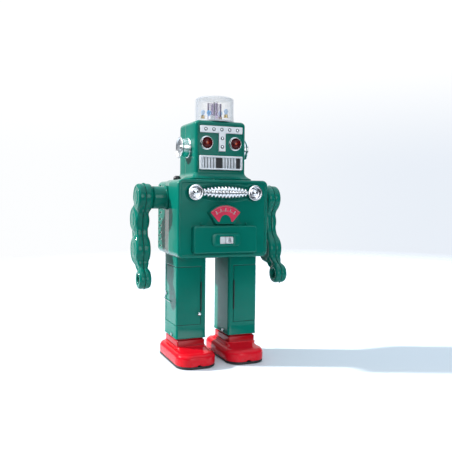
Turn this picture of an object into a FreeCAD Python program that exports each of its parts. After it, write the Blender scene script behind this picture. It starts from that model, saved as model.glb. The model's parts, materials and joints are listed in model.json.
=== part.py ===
import FreeCAD, Part
import Sketcher
import math
import os
import re

# Tin walking robot, in millimetres. X runs across the body (+X is the robot's left), the face looks
# along -Y and +Z is up. The origin is on the floor, at the middle of the whole outline.

os.makedirs("parts", exist_ok=True)
doc = FreeCAD.newDocument("walking_robot")
sheet = doc.addObject("Spreadsheet::Sheet", "dims")

DIMENSIONS = {
    "wall": 0.8,
    "leg_wall": 0.6,
    "gap": 0.35,
    "slip": 0.05,
    # torso
    "torso_half": 54.5,
    "torso_front": -39.0,
    "torso_seam": 9.4,
    "torso_back": 48.5,
    "torso_low": 122.8,
    "torso_high": 210.4,
    "torso_corner": 6.5,
    "torso_edge": 2.6,
    "panel_border": 3.6,
    "panel_step": 0.4,
    "cover_edge": 4.0,
    "cover_half": 52.9,
    "cover_inset": 1.0,
    "vent_length": 5.0,
    "vent_height": 1.8,
    "vent_step": 8.0,
    "vent_count": 9,
    "screw_margin": 10.0,
    "screw_head": 2.2,
    "screw_shank": 1.2,
    "screw_post": 3.0,
    # head
    "head_half": 30.7,
    "head_front": -27.7,
    "head_back": 31.9,
    "head_low": 219.4,
    "head_high": 277.2,
    "head_corner": 6.0,
    "head_seam": 9.0,
    "neck_half": 37.1,
    "neck_front": -33.5,
    "neck_back": 37.7,
    "neck_low": 210.6,
    "face_half": 27.1,
    "face_low": 221.0,
    "face_high": 271.4,
    "face_depth": 1.2,
    "brow_half": 25.6,
    "brow_low": 263.2,
    "brow_high": 270.9,
    "nose_half": 4.0,
    "nose_low": 242.6,
    "trim_proud": 1.8,
    "rivet_step": 9.5,
    "rivet_radius": 1.5,
    "rivet_height": 0.8,
    "eye_offset": 17.4,
    "eye_height": 251.8,
    "eye_radius": 7.3,
    "lens_radius": 5.8,
    "mouth_half": 26.2,
    "mouth_low": 221.6,
    "mouth_high": 237.6,
    "grille_half": 22.2,
    "grille_low": 224.0,
    "grille_high": 235.2,
    "mouth_slots": 9,
    "ear_height": 247.4,
    "ear_y": 0.2,
    "ear_radius": 13.4,
    "ear_reach": 41.4,
    "ear_stem": 4.2,
    "dome_radius": 23.3,
    "dome_y": -5.4,
    "dome_top": 305.6,
    "dome_wall": 1.0,
    # chest
    "horn_offset": 35.6,
    "horn_height": 195.9,
    "horn_radius": 8.7,
    "horn_depth": 7.3,
    "horn_ball": 3.7,
    "bar_half": 26.7,
    "bar_height": 196.2,
    "bar_radius": 8.0,
    "bar_end_radius": 4.6,
    "bar_ribs": 13,
    "badge_half": 21.9,
    "badge_shoulder": 173.6,
    "badge_top": 183.8,
    "badge_foot_half": 12.2,
    "badge_foot": 159.6,
    "badge_depth": 4.0,
    "dial_depth": 0.5,
    "box_half": 38.5,
    "box_low": 128.1,
    "box_high": 159.1,
    "box_depth": 6.0,
    "plate_half": 17.0,
    "plate_low": 136.3,
    "plate_high": 150.4,
    "plate_depth": 1.6,
    "knob_half": 4.2,
    "knob_shift": 3.4,
    "knob_low": 139.4,
    "knob_high": 146.6,
    "knob_proud": 1.9,
    "knob_travel": 6.0,
    # arms
    "shoulder_y": 9.5,
    "shoulder_z": 189.7,
    "shoulder_disc": 15.8,
    "barrel_radius": 14.2,
    "arm_inner": 71.9,
    "arm_outer": 89.4,
    "elbow_dy": 13.4,
    "elbow_dz": -27.5,
    "elbow_radius": 15.0,
    "forearm_dy": 4.4,
    "forearm_dz": -61.6,
    "forearm_radius": 16.9,
    "hand_dy": -14.2,
    "hand_dz": -92.7,
    "hand_radius": 11.4,
    "hand_hole": 5.4,
    "arm_lean": 7.0,
    "arm_shaft": 3.0,
    # legs
    "leg_inner": 14.0,
    "leg_outer": 49.6,
    "leg_front": -20.4,
    "leg_back": 26.4,
    "leg_low": 29.4,
    "leg_high": 134.0,
    "hip_y": 3.0,
    "hip_z": 128.0,
    "hip_radius": 2.0,
    "door_edge": 20.2,
    "door_back": 18.8,
    "door_low": 44.7,
    "door_high": 111.5,
    "hinge_radius": 0.9,
    "hinge_proud": 1.0,
    "hinge_low": 60.0,
    "hinge_high": 94.0,
    "knob_z": 58.0,
    "latch_y": 16.6,
    "latch_z": 77.4,
    "cell_radius": 16.6,
    "cell_length": 61.5,
    "cell_low": 47.6,
    "cell_y": -2.6,
    # feet
    "foot_x": 30.0,
    "foot_half": 23.3,
    "foot_front": -45.5,
    "foot_back": 45.5,
    "foot_corner": 14.0,
    "sole_thick": 3.0,
    "shoe_high": 20.7,
    "shoe_round": 7.0,
    "ankle_y": -5.2,
    "ankle_z": 32.7,
    "ankle_pin": 1.6,
    "link_dy": 15.0,
    "roller_radius": 4.5,
    "roller_width": 10.0,
    "roller_z": 4.7,
    "roller_y": -14.0,
    # drive
    "plate_x": 11.0,
    "plate_thick": 1.0,
    "crank_z": 156.0,
    "crank_throw": 2.9,
    "crank_pin": 1.3,
    "crank_disc": 7.0,
    "tooth_module": 0.8,
    "crank_teeth": 48,
    "idler_teeth": 40,
    "pinion_teeth": 10,
    "idler_angle": 60.0,
    "motor_radius": 11.0,
    "motor_length": 23.5,
    "train_x": -10.6,
    "roller_drive": 2.4,
    "drive_contact": 4.8,
    "spinner_radius": 8.6,
    "spinner_high": 303.0,
    "smoke_x": 20.0,
    "smoke_y": -22.0,
    "smoke_low": 166.0,
    "smoke_radius": 9.0,
    "smoke_tube": 2.0,
}

for row, (alias, value) in enumerate(DIMENSIONS.items(), start=1):
    sheet.set(f"A{row}", alias)
    sheet.set(f"B{row}", str(value))
    sheet.setAlias(f"B{row}", alias)
doc.recompute()

WORD = re.compile(r"\b[a-z][a-z_]*\b")
PLANES = {"XY": "XY_Plane", "XZ": "XZ_Plane", "YZ": "YZ_Plane"}
nodes = []


def size(alias):
    return float(sheet.get(alias))


def formula(text):
    """Turn a formula of plain dimension names into one that reads the sheet."""
    return WORD.sub(lambda m: "dims." + m.group() if m.group() in DIMENSIONS else m.group(), str(text))


def bind(obj, prop, text):
    obj.setExpression(prop, formula(text))


def keep(obj, label):
    """Register an object as one sub-part under its file name."""
    obj.Label = label
    nodes.append(obj)
    return obj


def place(obj, x="0", y="0", z="0"):
    bind(obj, "Placement.Base.x", x)
    bind(obj, "Placement.Base.y", y)
    bind(obj, "Placement.Base.z", z)
    return obj


def box(x_low, x_high, y_low, y_high, z_low, z_high):
    solid = doc.addObject("Part::Box", "block")
    bind(solid, "Length", f"({x_high}) - ({x_low})")
    bind(solid, "Width", f"({y_high}) - ({y_low})")
    bind(solid, "Height", f"({z_high}) - ({z_low})")
    return place(solid, x_low, y_low, z_low)


AXIS_TURN = {
    "X": FreeCAD.Rotation(FreeCAD.Vector(0, 1, 0), 90),
    "Y": FreeCAD.Rotation(FreeCAD.Vector(1, 0, 0), -90),
    "Z": FreeCAD.Rotation(),
}


def rod(axis, radius, length, x, y, z):
    """A cylinder that starts at x, y, z and runs along +axis."""
    solid = doc.addObject("Part::Cylinder", "rod")
    solid.Placement = FreeCAD.Placement(FreeCAD.Vector(), AXIS_TURN[axis])
    bind(solid, "Radius", radius)
    bind(solid, "Height", length)
    return place(solid, x, y, z)


def cone(axis, radius_low, radius_high, length, x, y, z):
    solid = doc.addObject("Part::Cone", "cone")
    solid.Placement = FreeCAD.Placement(FreeCAD.Vector(), AXIS_TURN[axis])
    bind(solid, "Radius1", radius_low)
    bind(solid, "Radius2", radius_high)
    bind(solid, "Height", length)
    return place(solid, x, y, z)


def fuse(*shapes):
    joined = doc.addObject("Part::MultiFuse", "joined")
    joined.Shapes = list(shapes)
    return joined


def cut(base, *tools):
    result = doc.addObject("Part::Cut", "trimmed")
    result.Base = base
    result.Tool = tools[0] if len(tools) == 1 else fuse(*tools)
    return result


def group(*shapes):
    """Separate solids that share one node."""
    compound = doc.addObject("Part::Compound", "set")
    compound.Links = list(shapes)
    return compound


def new_body(label):
    body = doc.addObject("PartDesign::Body", label)
    return keep(body, label)


def new_sketch(body, plane, offset):
    sketch = body.newObject("Sketcher::SketchObject", body.Name + "_sketch")
    origin_plane = [p for p in body.Origin.OriginFeatures if p.Role == PLANES[plane]][0]
    sketch.AttachmentSupport = [(origin_plane, "")]
    sketch.MapMode = "FlatFace"
    bind(sketch, "AttachmentOffset.Base.z", offset)
    return sketch


def pin_point(sketch, geometry, point, across, up):
    """Fix one point of a sketch by its distances from the origin."""
    for kind, text in (("DistanceX", across), ("DistanceY", up)):
        index = sketch.addConstraint(Sketcher.Constraint(kind, -1, 1, geometry, point, 1.0))
        bind(sketch, f"Constraints[{index}]", text)


def outline(sketch, corners):
    """A closed outline through corners given as pairs of formulas."""
    count = len(corners)
    for k in range(count):
        start = 2 * math.pi * k / count
        end = 2 * math.pi * (k + 1) / count
        sketch.addGeometry(Part.LineSegment(
            FreeCAD.Vector(9 * math.cos(start), 9 * math.sin(start), 0),
            FreeCAD.Vector(9 * math.cos(end), 9 * math.sin(end), 0)), False)
    for k in range(count):
        sketch.addConstraint(Sketcher.Constraint("Coincident", k, 2, (k + 1) % count, 1))
    for k, (across, up) in enumerate(corners):
        pin_point(sketch, k, 1, across, up)
    return sketch


def rectangle(sketch, left, right, low, high):
    return outline(sketch, [(left, low), (right, low), (right, high), (left, high)])


def circle(sketch, radius, across, up):
    index = sketch.addGeometry(Part.Circle(FreeCAD.Vector(1, 1, 0), FreeCAD.Vector(0, 0, 1), 2), False)
    ring = sketch.addConstraint(Sketcher.Constraint("Radius", index, 2.0))
    bind(sketch, f"Constraints[{ring}]", radius)
    pin_point(sketch, index, 3, across, up)
    return sketch


def pad(body, sketch, length, reverse=False):
    feature = body.newObject("PartDesign::Pad", body.Name + "_pad")
    feature.Profile = sketch
    feature.Reversed = reverse
    bind(feature, "Length", length)
    doc.recompute()
    return feature


def pocket(body, sketch, length, reverse=False):
    before = body.Shape.Volume
    feature = body.newObject("PartDesign::Pocket", body.Name + "_pocket")
    feature.Profile = sketch
    feature.Reversed = reverse
    bind(feature, "Length", length)
    doc.recompute()
    if not body.Shape.Volume < before - 0.01:
        raise RuntimeError(body.Label + ": a pocket cuts nothing")
    return feature


def soften(body, radius, wanted):
    """Round the edges of a body's latest feature for which wanted(edge) is true."""
    feature = body.Tip
    names = [f"Edge{k}" for k, edge in enumerate(feature.Shape.Edges, start=1) if wanted(edge)]
    rounding = body.newObject("PartDesign::Fillet", body.Name + "_fillet")
    rounding.Base = (feature, names)
    bind(rounding, "Radius", radius)
    doc.recompute()
    return rounding


def runs_along(axis):
    def test(edge):
        box_ = edge.BoundBox
        spans = {"X": box_.XLength, "Y": box_.YLength, "Z": box_.ZLength}
        return spans[axis] > 1.0 and all(s < 1e-6 for a, s in spans.items() if a != axis)
    return test


def lies_at(axis, value):
    def test(edge):
        box_ = edge.BoundBox
        low = {"X": box_.XMin, "Y": box_.YMin, "Z": box_.ZMin}[axis]
        high = {"X": box_.XMax, "Y": box_.YMax, "Z": box_.ZMax}[axis]
        return abs(low - value) < 1e-4 and abs(high - value) < 1e-4
    return test


SIDES = {"right": -1, "left": 1}


def span(side, inner, outer):
    """Low and high X of something that lies between two distances from the middle plane."""
    return (inner, outer) if SIDES[side] > 0 else (f"-({outer})", f"-({inner})")


def mid(side, distance):
    return distance if SIDES[side] > 0 else f"-({distance})"


def shaft_holes():
    """Shoulder shaft clearance through both sides of the torso."""
    return rod("X", "arm_shaft + 0.3", "2 * torso_half + 4", "-torso_half - 2", "shoulder_y", "shoulder_z")


# ---- torso -------------------------------------------------------------------------------------

def bar_surround():
    """Almond-shaped raised lip round the ribbed bar."""
    body = doc.addObject("PartDesign::Body", "bar_surround")
    corners = [("-bar_half - 3", "bar_height - 6.2"), ("-9", "bar_height - 9.8"), ("9", "bar_height - 9.8"),
               ("bar_half + 3", "bar_height - 6.2"), ("bar_half + 3", "bar_height + 6.2"),
               ("9", "bar_height + 9.8"), ("-9", "bar_height + 9.8"), ("-bar_half - 3", "bar_height + 6.2")]
    pad(body, outline(new_sketch(body, "XZ", "-torso_front - 0.5"), corners), "1.2")
    inner = [("-bar_half - 1", "bar_height - 4.9"), ("-9", "bar_height - 8.4"), ("9", "bar_height - 8.4"),
             ("bar_half + 1", "bar_height - 4.9"), ("bar_half + 1", "bar_height + 4.9"),
             ("9", "bar_height + 8.4"), ("-9", "bar_height + 8.4"), ("-bar_half - 1", "bar_height + 4.9")]
    pocket(body, outline(new_sketch(body, "XZ", "-torso_front + 2"), inner), "6")
    return body


def box_lugs():
    return [rod("Y", "1.6", "1.6", x, "torso_front - 1.0", "box_high + 2") for x in ("-27", "27")]


def rounded_block(left, right, low, high, start, depth, corner, edge, backward):
    """A block along Y with round corners and a softened far face."""
    body = doc.addObject("PartDesign::Body", "rounded_block")
    pad(body, rectangle(new_sketch(body, "XZ", f"-({start})"), left, right, low, high), depth, backward)
    soften(body, corner, runs_along("Y"))
    reach = body.Shape.BoundBox
    soften(body, edge, lies_at("Y", reach.YMax if backward else reach.YMin))
    return body


def torso_front_shell():
    outer = rounded_block("-torso_half", "torso_half", "torso_low", "torso_high", "torso_seam",
                          "torso_seam - torso_front", "torso_corner", "torso_edge", False)
    hollow = rounded_block("-torso_half + wall", "torso_half - wall", "torso_low + wall",
                           "torso_high - wall", "torso_seam + 1", "torso_seam + 1 - torso_front - wall",
                           "torso_corner - wall", "torso_edge - wall", False)
    panel = box("-torso_half + panel_border", "torso_half - panel_border", "torso_front - 1",
                "torso_front + panel_step", "torso_low + panel_border", "torso_high - panel_border - 0.6")
    wells = [box(*span(side, "leg_inner - 0.8", "leg_outer + 0.8"), "leg_front - 2", "torso_seam + 1",
                 "torso_low - 1", "torso_low + wall + 1") for side in SIDES]
    spindle = rod("Z", "3.5", "4", "0", "dome_y", "torso_high - 3")
    chimney = rod("Z", "smoke_tube + 0.3", "4", "smoke_x", "smoke_y", "torso_high - 3")
    pressing = fuse(cut(outer, hollow, panel), bar_surround(), *box_lugs())
    keep(cut(pressing, shaft_holes(), spindle, chimney, *wells), "torso_front_shell")


def vent_slots():
    """Two staggered columns of slots near the back edge of each cover side."""
    cutters = []
    for side in SIDES:
        for column, (back, rise) in enumerate((("torso_back - 13", "6"), ("torso_back - 21", "10"))):
            body = doc.addObject("PartDesign::Body", f"vents_{side}_{column}")
            slot = rectangle(new_sketch(body, "YZ", span(side, "cover_half - 3", "cover_half + 3")[0]),
                             back, f"{back} + vent_length",
                             f"torso_low + {rise}", f"torso_low + {rise} + vent_height")
            first = pad(body, slot, "6")
            rows = body.newObject("PartDesign::LinearPattern", f"rows_{side}_{column}")
            rows.Originals = [first]
            rows.Direction = (slot, ["V_Axis"])
            bind(rows, "Length", "vent_step * (vent_count - 1)")
            bind(rows, "Occurrences", "vent_count")
            body.Tip = rows
            doc.recompute()
            cutters.append(body)
    return cutters


def torso_back_cover():
    start = "torso_seam + 0.1"
    outer = rounded_block("-cover_half", "cover_half", "torso_low + cover_inset", "torso_high - cover_inset",
                          start, f"torso_back - ({start})", "torso_corner", "cover_edge", True)
    hollow = rounded_block("-cover_half + wall", "cover_half - wall", "torso_low + cover_inset + wall",
                           "torso_high - cover_inset - wall", "torso_seam - 1",
                           "torso_back - wall - torso_seam + 1", "torso_corner - wall",
                           "cover_edge - wall", True)
    wells = [box(*span(side, "leg_inner - 0.8", "leg_outer + 0.8"), "torso_seam - 2", "leg_back + 2.5",
                 "torso_low - 1", "torso_low + wall + 3") for side in SIDES]
    posts = at_screws("screw_head + 1", "screw_post", "wall + screw_post")
    seats = at_screws("screw_head + slip", "wall + 1", "wall")
    bores = at_screws("screw_shank + slip", "screw_post + 2", "wall + screw_post + 1")
    keep(cut(fuse(cut(outer, hollow), *posts), shaft_holes(), *vent_slots(), *wells, *seats, *bores),
         "torso_back_cover")


def at_screws(radius, length, start):
    """Four rods along Y, one at each cover screw, that start that far inside the back face."""
    return [rod("Y", radius, length, x, f"torso_back - ({start})", z)
            for x in ("-cover_half + screw_margin", "cover_half - screw_margin")
            for z in ("torso_low + screw_margin + 2", "torso_high - screw_margin - 2")]


def cover_screws():
    """Each head sits in its hole against the end of the post that takes the shank."""
    heads = at_screws("screw_head", "wall", "wall")
    shanks = at_screws("screw_shank", "screw_post", "wall + screw_post - 0.2")
    return [fuse(head, shank) for head, shank in zip(heads, shanks)]


def shoulder_barrel(side):
    low, high = span(side, "torso_half", "arm_inner - 0.5")
    drum = rod("X", "barrel_radius", "arm_inner - 0.5 - torso_half", low, "shoulder_y", "shoulder_z")
    bore = rod("X", "arm_shaft + slip", "arm_inner - torso_half + 2", f"{low} - 1", "shoulder_y",
               "shoulder_z")
    return cut(drum, bore)


# ---- head --------------------------------------------------------------------------------------

def head_solid(inset):
    """The head with its flared neck, drawn in by inset on every side."""
    flare = doc.addObject("Part::Feature", "flare")
    rings = []
    for half, front, back, height in (
            (size("neck_half"), size("neck_front"), size("neck_back"), size("neck_low")),
            (size("head_half"), size("head_front"), size("head_back"), size("head_low"))):
        half, front, back = half - inset, front + inset, back - inset
        corners = [(-half, front), (half, front), (half, back), (-half, back), (-half, front)]
        rings.append(Part.makePolygon([FreeCAD.Vector(x, y, height) for x, y in corners]))
    flare.Shape = Part.makeLoft(rings, True)
    skull = box(f"-head_half + {inset}", f"head_half - {inset}", f"head_front + {inset}",
                f"head_back - {inset}", "head_low", f"head_high - {inset}")
    return fuse(flare, skull)


def rounded_head(inset):
    outer = head_solid(inset)
    doc.recompute()
    rounded = doc.addObject("Part::Fillet", "rounded_head")
    rounded.Base = outer
    top = size("head_high") - inset
    corner = size("head_corner") - inset
    is_roof_edge = runs_along("Y")
    rounded.Edges = [(k, corner, corner) for k, edge in enumerate(outer.Shape.Edges, start=1)
                     if is_roof_edge(edge) and abs(edge.BoundBox.ZMax - top) < 1e-4]
    return rounded


def head_shells():
    front_half = box("-60", "60", "-60", "head_seam", "neck_low - 1", "head_high + 1")
    back_half = box("-60", "60", "head_seam + 0.1", "60", "neck_low - 1", "head_high + 1")
    roof_hole = rod("Z", "3.5", "4", "0", "dome_y", "head_high - 3")
    recess = box("-face_half", "face_half", "head_front - 1", "head_front + wall + 0.2", "face_low",
                 "face_high")
    tools = {"head_front_shell": [front_half, roof_hole, recess], "head_back_shell": [back_half]}
    for label, (region, *holes) in tools.items():
        half = doc.addObject("Part::Common", "head_half_shell")
        half.Base = cut(rounded_head(0.0), rounded_head(size("wall")))
        half.Tool = region
        keep(cut(half, *holes) if holes else half, label)


def face_panel():
    body = new_body("face_panel")
    plate = rectangle(new_sketch(body, "XZ", "-head_front - wall - 1.2"), "-face_half - 1.5",
                      "face_half + 1.5", "face_low - 1.5", "face_high + 1.5")
    pad(body, plate, "1.1")
    windows = rectangle(new_sketch(body, "XZ", "-head_front"), "-grille_half + 1", "grille_half - 1",
                        "grille_low + 1", "grille_high - 1")
    pocket(body, windows, "6")
    for side in SIDES:
        eye = circle(new_sketch(body, "XZ", "-head_front"), "lens_radius - 1",
                     mid(side, "eye_offset"), "eye_height")
        pocket(body, eye, "6")


def brow_nose_trim():
    """The T-shaped plate on the brow and down the nose."""
    body = new_body("brow_nose_trim")
    corners = [("-nose_half", "nose_low"), ("nose_half", "nose_low"), ("nose_half", "brow_low"),
               ("brow_half", "brow_low"), ("brow_half", "brow_high"), ("-brow_half", "brow_high"),
               ("-brow_half", "brow_low"), ("-nose_half", "brow_low")]
    pad(body, outline(new_sketch(body, "XZ", "-head_front - wall"), corners), "trim_proud + wall - 0.1")


def face_rivets():
    middle = "(brow_low + brow_high) / 2"
    spots = [(f"{k} * rivet_step", middle) for k in (-2, -1, 0, 1, 2)]
    spots += [("0", f"{middle} - 10.4"), ("0", f"{middle} - 20.3")]
    heads = [rod("Y", "rivet_radius", "rivet_height", x, "head_front - trim_proud - rivet_height + 0.1", z)
             for x, z in spots]
    keep(group(*heads), "face_rivets")


def eyes():
    rims = []
    lenses = []
    for side in SIDES:
        x = mid(side, "eye_offset")
        ring = cut(rod("Y", "eye_radius", "3.0", x, "head_front - 2.2", "eye_height"),
                   rod("Y", "lens_radius + 0.1", "5", x, "head_front - 3", "eye_height"))
        rims.append(ring)
        lenses.append(cone("Y", "lens_radius * 0.45", "lens_radius", "3.4", x, "head_front - 2.9",
                           "eye_height"))
    keep(group(*rims), "eye_rims")
    keep(group(*lenses), "eye_lenses")


def mouth():
    body = new_body("mouth_grille")
    plate = rectangle(new_sketch(body, "XZ", "-head_front - wall"), "-mouth_half", "mouth_half",
                      "mouth_low", "mouth_high")
    pad(body, plate, "trim_proud + wall - 0.1")
    tray = rectangle(new_sketch(body, "XZ", "-head_front + trim_proud"), "-grille_half", "grille_half",
                     "grille_low", "grille_high")
    pocket(body, tray, "1.2")
    slot = rectangle(new_sketch(body, "XZ", "-head_front + trim_proud"), "-grille_half + 0.8",
                     "-grille_half + 4.0", "grille_low + 0.8", "grille_high - 0.8")
    first = pocket(body, slot, "5")
    row = body.newObject("PartDesign::LinearPattern", "mouth_slots")
    row.Originals = [first]
    row.Direction = (slot, ["H_Axis"])
    bind(row, "Length", "2 * grille_half - 4.8")
    bind(row, "Occurrences", "mouth_slots")
    body.Tip = row
    liner = box("-grille_half - 1", "grille_half + 1", "head_front + wall + 1.4", "head_front + wall + 2.2",
                "grille_low - 1", "grille_high + 1")
    keep(cut(liner, rod("Y", "2.5", "6", "0", "head_front", "(grille_low + grille_high) / 2")),
         "mouth_liner")


def ear_dish(side):
    """Drum and rim turned as one piece, with a dish sunk in the end away from the head."""
    body = doc.addObject("PartDesign::Body", "ear_turning")
    profile = outline(new_sketch(body, "XZ", "0"), [
        ("2.6", "0"), ("ear_reach - head_half - 1.2", "0"),
        ("ear_reach - head_half - 1.2", "ear_radius - 2"), ("1.4", "ear_radius - 2"),
        ("0.9", "ear_radius - 1"), ("0", "ear_radius - 1"), ("0", "ear_radius - 2.2"), ("2.6", "ear_stem")])
    turn = body.newObject("PartDesign::Revolution", "ear_turn")
    turn.Profile = profile
    turn.ReferenceAxis = (profile, ["H_Axis"])
    turn.Angle = 360
    doc.recompute()
    facing = 180 if SIDES[side] > 0 else 0
    body.Placement = FreeCAD.Placement(FreeCAD.Vector(),
                                       FreeCAD.Rotation(FreeCAD.Vector(0, 0, 1), facing))
    return place(body, mid(side, "ear_reach"), "ear_y", "ear_height")


def ear_washer(side):
    low = span(side, "head_half + 0.02", "head_half + 1.2")[0]
    return cut(rod("X", "ear_radius - 2", "1.18", low, "ear_y", "ear_height"),
               rod("X", "ear_stem", "4", f"{low} - 1", "ear_y", "ear_height"))


def ears():
    keep(group(*[ear_dish(side) for side in SIDES], *[ear_washer(side) for side in SIDES]), "ear_dishes")


def dome():
    base = "head_high + 0.05"
    outer = rod("Z", "dome_radius", "dome_top - head_high - 0.05", "0", "dome_y", base)
    inner = rod("Z", "dome_radius - dome_wall", "dome_top - head_high - dome_wall - 0.05", "0", "dome_y",
                base)
    keep(cut(outer, inner), "roof_dome")


LAMP_SPOTS = (("-8", "dome_y - 13.5"), ("8", "dome_y + 13.5"))


def lamps():
    """Two lamps in their sockets on the deck under the dome."""
    deck = rod("Z", "dome_radius - dome_wall - 0.1", "1.5", "0", "dome_y", "head_high + 0.05")
    sockets = [rod("Z", "3.6", "5", x, y, "head_high + 1.05") for x, y in LAMP_SPOTS]
    keep(cut(fuse(deck, *sockets), rod("Z", "2.2", "4", "0", "dome_y", "head_high - 1")), "dome_deck")
    bulbs = []
    for x, y in LAMP_SPOTS:
        globe = doc.addObject("Part::Sphere", "globe")
        bind(globe, "Radius", "3.4")
        place(globe, x, y, "head_high + 12.5")
        bulbs.append(fuse(rod("Z", "2.6", "6", x, y, "head_high + 6.1"), globe))
    keep(group(*bulbs), "lamps")


# ---- chest -------------------------------------------------------------------------------------

def chest_horns():
    horns = []
    for side in SIDES:
        x = mid(side, "horn_offset")
        dish = cut(cone("Y", "horn_radius", "horn_radius * 0.55", "horn_depth", x,
                        "torso_front + panel_step - horn_depth", "horn_height"),
                   cone("Y", "horn_radius - 0.9", "horn_radius * 0.45", "4", x,
                        "torso_front + panel_step - horn_depth - 0.1", "horn_height"))
        ball = doc.addObject("Part::Sphere", "ball")
        bind(ball, "Radius", "horn_ball")
        place(ball, x, "torso_front + panel_step - horn_ball - 0.05", "horn_height")
        horns.append(fuse(dish, ball))
    keep(group(*horns), "chest_horns")


def ribbed_bar():
    """A row of half discs, widest in the middle, on a flat back strip."""
    count = int(size("bar_ribs"))
    step = 2 * size("bar_half") / count
    ribs = [box("-bar_half", "bar_half", "torso_front - 2.6", "torso_front + 0.3", "bar_height - 3.4",
                "bar_height + 3.4")]
    front_half = box("-bar_half - 1", "bar_half + 1", "torso_front - 20", "torso_front + 0.3",
                     "bar_height - 20", "bar_height + 20")
    for k in range(count):
        offset = (k + 0.5) * step - size("bar_half")
        share = math.cos(0.5 * math.pi * offset / size("bar_half"))
        ribs.append(rod("X", f"bar_end_radius + (bar_radius - bar_end_radius) * {share:.4f}",
                        "2 * bar_half / bar_ribs * 0.62", f"{offset:.4f} - bar_half / bar_ribs * 0.62",
                        "torso_front", "bar_height"))
    half = doc.addObject("Part::Common", "front_of_bar")
    half.Base = fuse(*ribs)
    half.Tool = front_half
    keep(half, "ribbed_bar")


def fan_points(half, side_z, top_z, foot_half, foot_z, count=9):
    """Outline of a fan: an arc over the top and a straight or curved foot."""
    rise = top_z - side_z
    radius = (half * half + rise * rise) / (2 * rise)
    centre = top_z - radius
    spread = math.asin(half / radius)
    arc = [(radius * math.sin(-spread + 2 * spread * k / (count - 1)),
            centre + radius * math.cos(-spread + 2 * spread * k / (count - 1))) for k in range(count)]
    return [(-foot_half, foot_z)] + arc + [(foot_half, foot_z)]


def prism_y(points, y_low, depth):
    wire = Part.makePolygon([FreeCAD.Vector(x, y_low, z) for x, z in points + points[:1]])
    return Part.Face(wire).extrude(FreeCAD.Vector(0, depth, 0))


def gauge():
    """Fan-shaped raised badge with a dial of the same shape, numbers from the sheet."""
    depth = size("badge_depth")
    front = size("torso_front")
    badge = doc.addObject("Part::Feature", "gauge_badge")
    badge.Shape = prism_y(fan_points(size("badge_half"), size("badge_shoulder"), size("badge_top"),
                                     size("badge_foot_half"), size("badge_foot")), front - depth,
                          depth + 0.35)
    keep(badge, "gauge_badge")
    outer = prism_y(fan_points(size("badge_half") - 4.2, size("badge_shoulder") - 0.4,
                               size("badge_top") - 2.3, size("badge_foot_half") - 2.2,
                               size("badge_foot") + 3.6), front - depth - size("dial_depth"),
                    size("dial_depth"))
    foot = Part.makeCylinder(11.8, 8, FreeCAD.Vector(0, front - depth - 5, size("badge_foot") - 2.6),
                             FreeCAD.Vector(0, 1, 0))
    dial = doc.addObject("Part::Feature", "gauge_dial")
    dial.Shape = outer.cut(foot)
    keep(dial, "gauge_dial")


def control_box():
    """Hollow cover with a raised plate and the window that the knob slides in."""
    body = new_body("control_box")
    face = rectangle(new_sketch(body, "XZ", "-torso_front - 0.35"), "-box_half", "box_half", "box_low",
                     "box_high")
    pad(body, face, "box_depth + 0.35")
    soften(body, "3", runs_along("Y"))
    soften(body, "2", lies_at("Y", size("torso_front") - size("box_depth")))
    plate = rectangle(new_sketch(body, "XZ", "-torso_front + box_depth - 0.1"), "-plate_half",
                      "plate_half", "plate_low", "plate_high")
    pad(body, plate, "plate_depth + 0.1")
    soften(body, "0.9", lies_at("Y", size("torso_front") - size("box_depth") - size("plate_depth")))
    hollow = rectangle(new_sketch(body, "XZ", "-torso_front - 0.35"), "-box_half + 2", "box_half - 2",
                       "box_low + 2", "box_high - 2")
    pocket(body, hollow, "box_depth - 0.8", True)
    window = rectangle(new_sketch(body, "XZ", "-torso_front + box_depth + 4"),
                       "knob_shift - knob_half - knob_travel - 0.4", "knob_shift + knob_half + 0.4",
                       "knob_low - 0.3", "knob_high + 0.3")
    pocket(body, window, "8")


def switch_knob():
    body = new_body("switch_knob")
    face = rectangle(new_sketch(body, "XZ", "-torso_front + box_depth + 0.1"), "knob_shift - knob_half",
                     "knob_shift + knob_half", "knob_low", "knob_high")
    pad(body, face, "plate_depth + knob_proud - 0.1")


def filler_plug():
    stem = rod("Z", "3", "1.2", "-torso_half + 10", "-4", "torso_high + 0.05")
    cap = cone("Z", "4.3", "3.2", "3.2", "-torso_half + 10", "-4", "torso_high + 1.2")
    keep(fuse(stem, cap), "filler_plug")


# ---- arms --------------------------------------------------------------------------------------

LOBES = (("0", "0", "shoulder_disc"), ("elbow_dy", "elbow_dz", "elbow_radius"),
         ("forearm_dy", "forearm_dz", "forearm_radius"), ("hand_dy", "hand_dz", "hand_radius"))
WEBS = ((0, 1, "0.78"), (1, 2, "0.84"), (2, 3, "0.62"))


def arm_outline(body, plane_x, depth, inset, work, reverse):
    """The arm's lobes and the webs between them, added or removed by work."""
    for y, z, radius in LOBES:
        work(body, circle(new_sketch(body, "YZ", plane_x), f"{radius} - {inset}", y, z), depth, reverse)
    for start, end, share in WEBS:
        y0, z0, r0 = LOBES[start]
        y1, z1, r1 = LOBES[end]
        corners = [(f"{y0} - {r0} * {share} + {inset}", z0), (f"{y1} - {r1} * {share} + {inset}", z1),
                   (f"{y1} + {r1} * {share} - {inset}", z1), (f"{y0} + {r0} * {share} - {inset}", z0)]
        work(body, outline(new_sketch(body, "YZ", plane_x), corners), depth, reverse)


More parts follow.
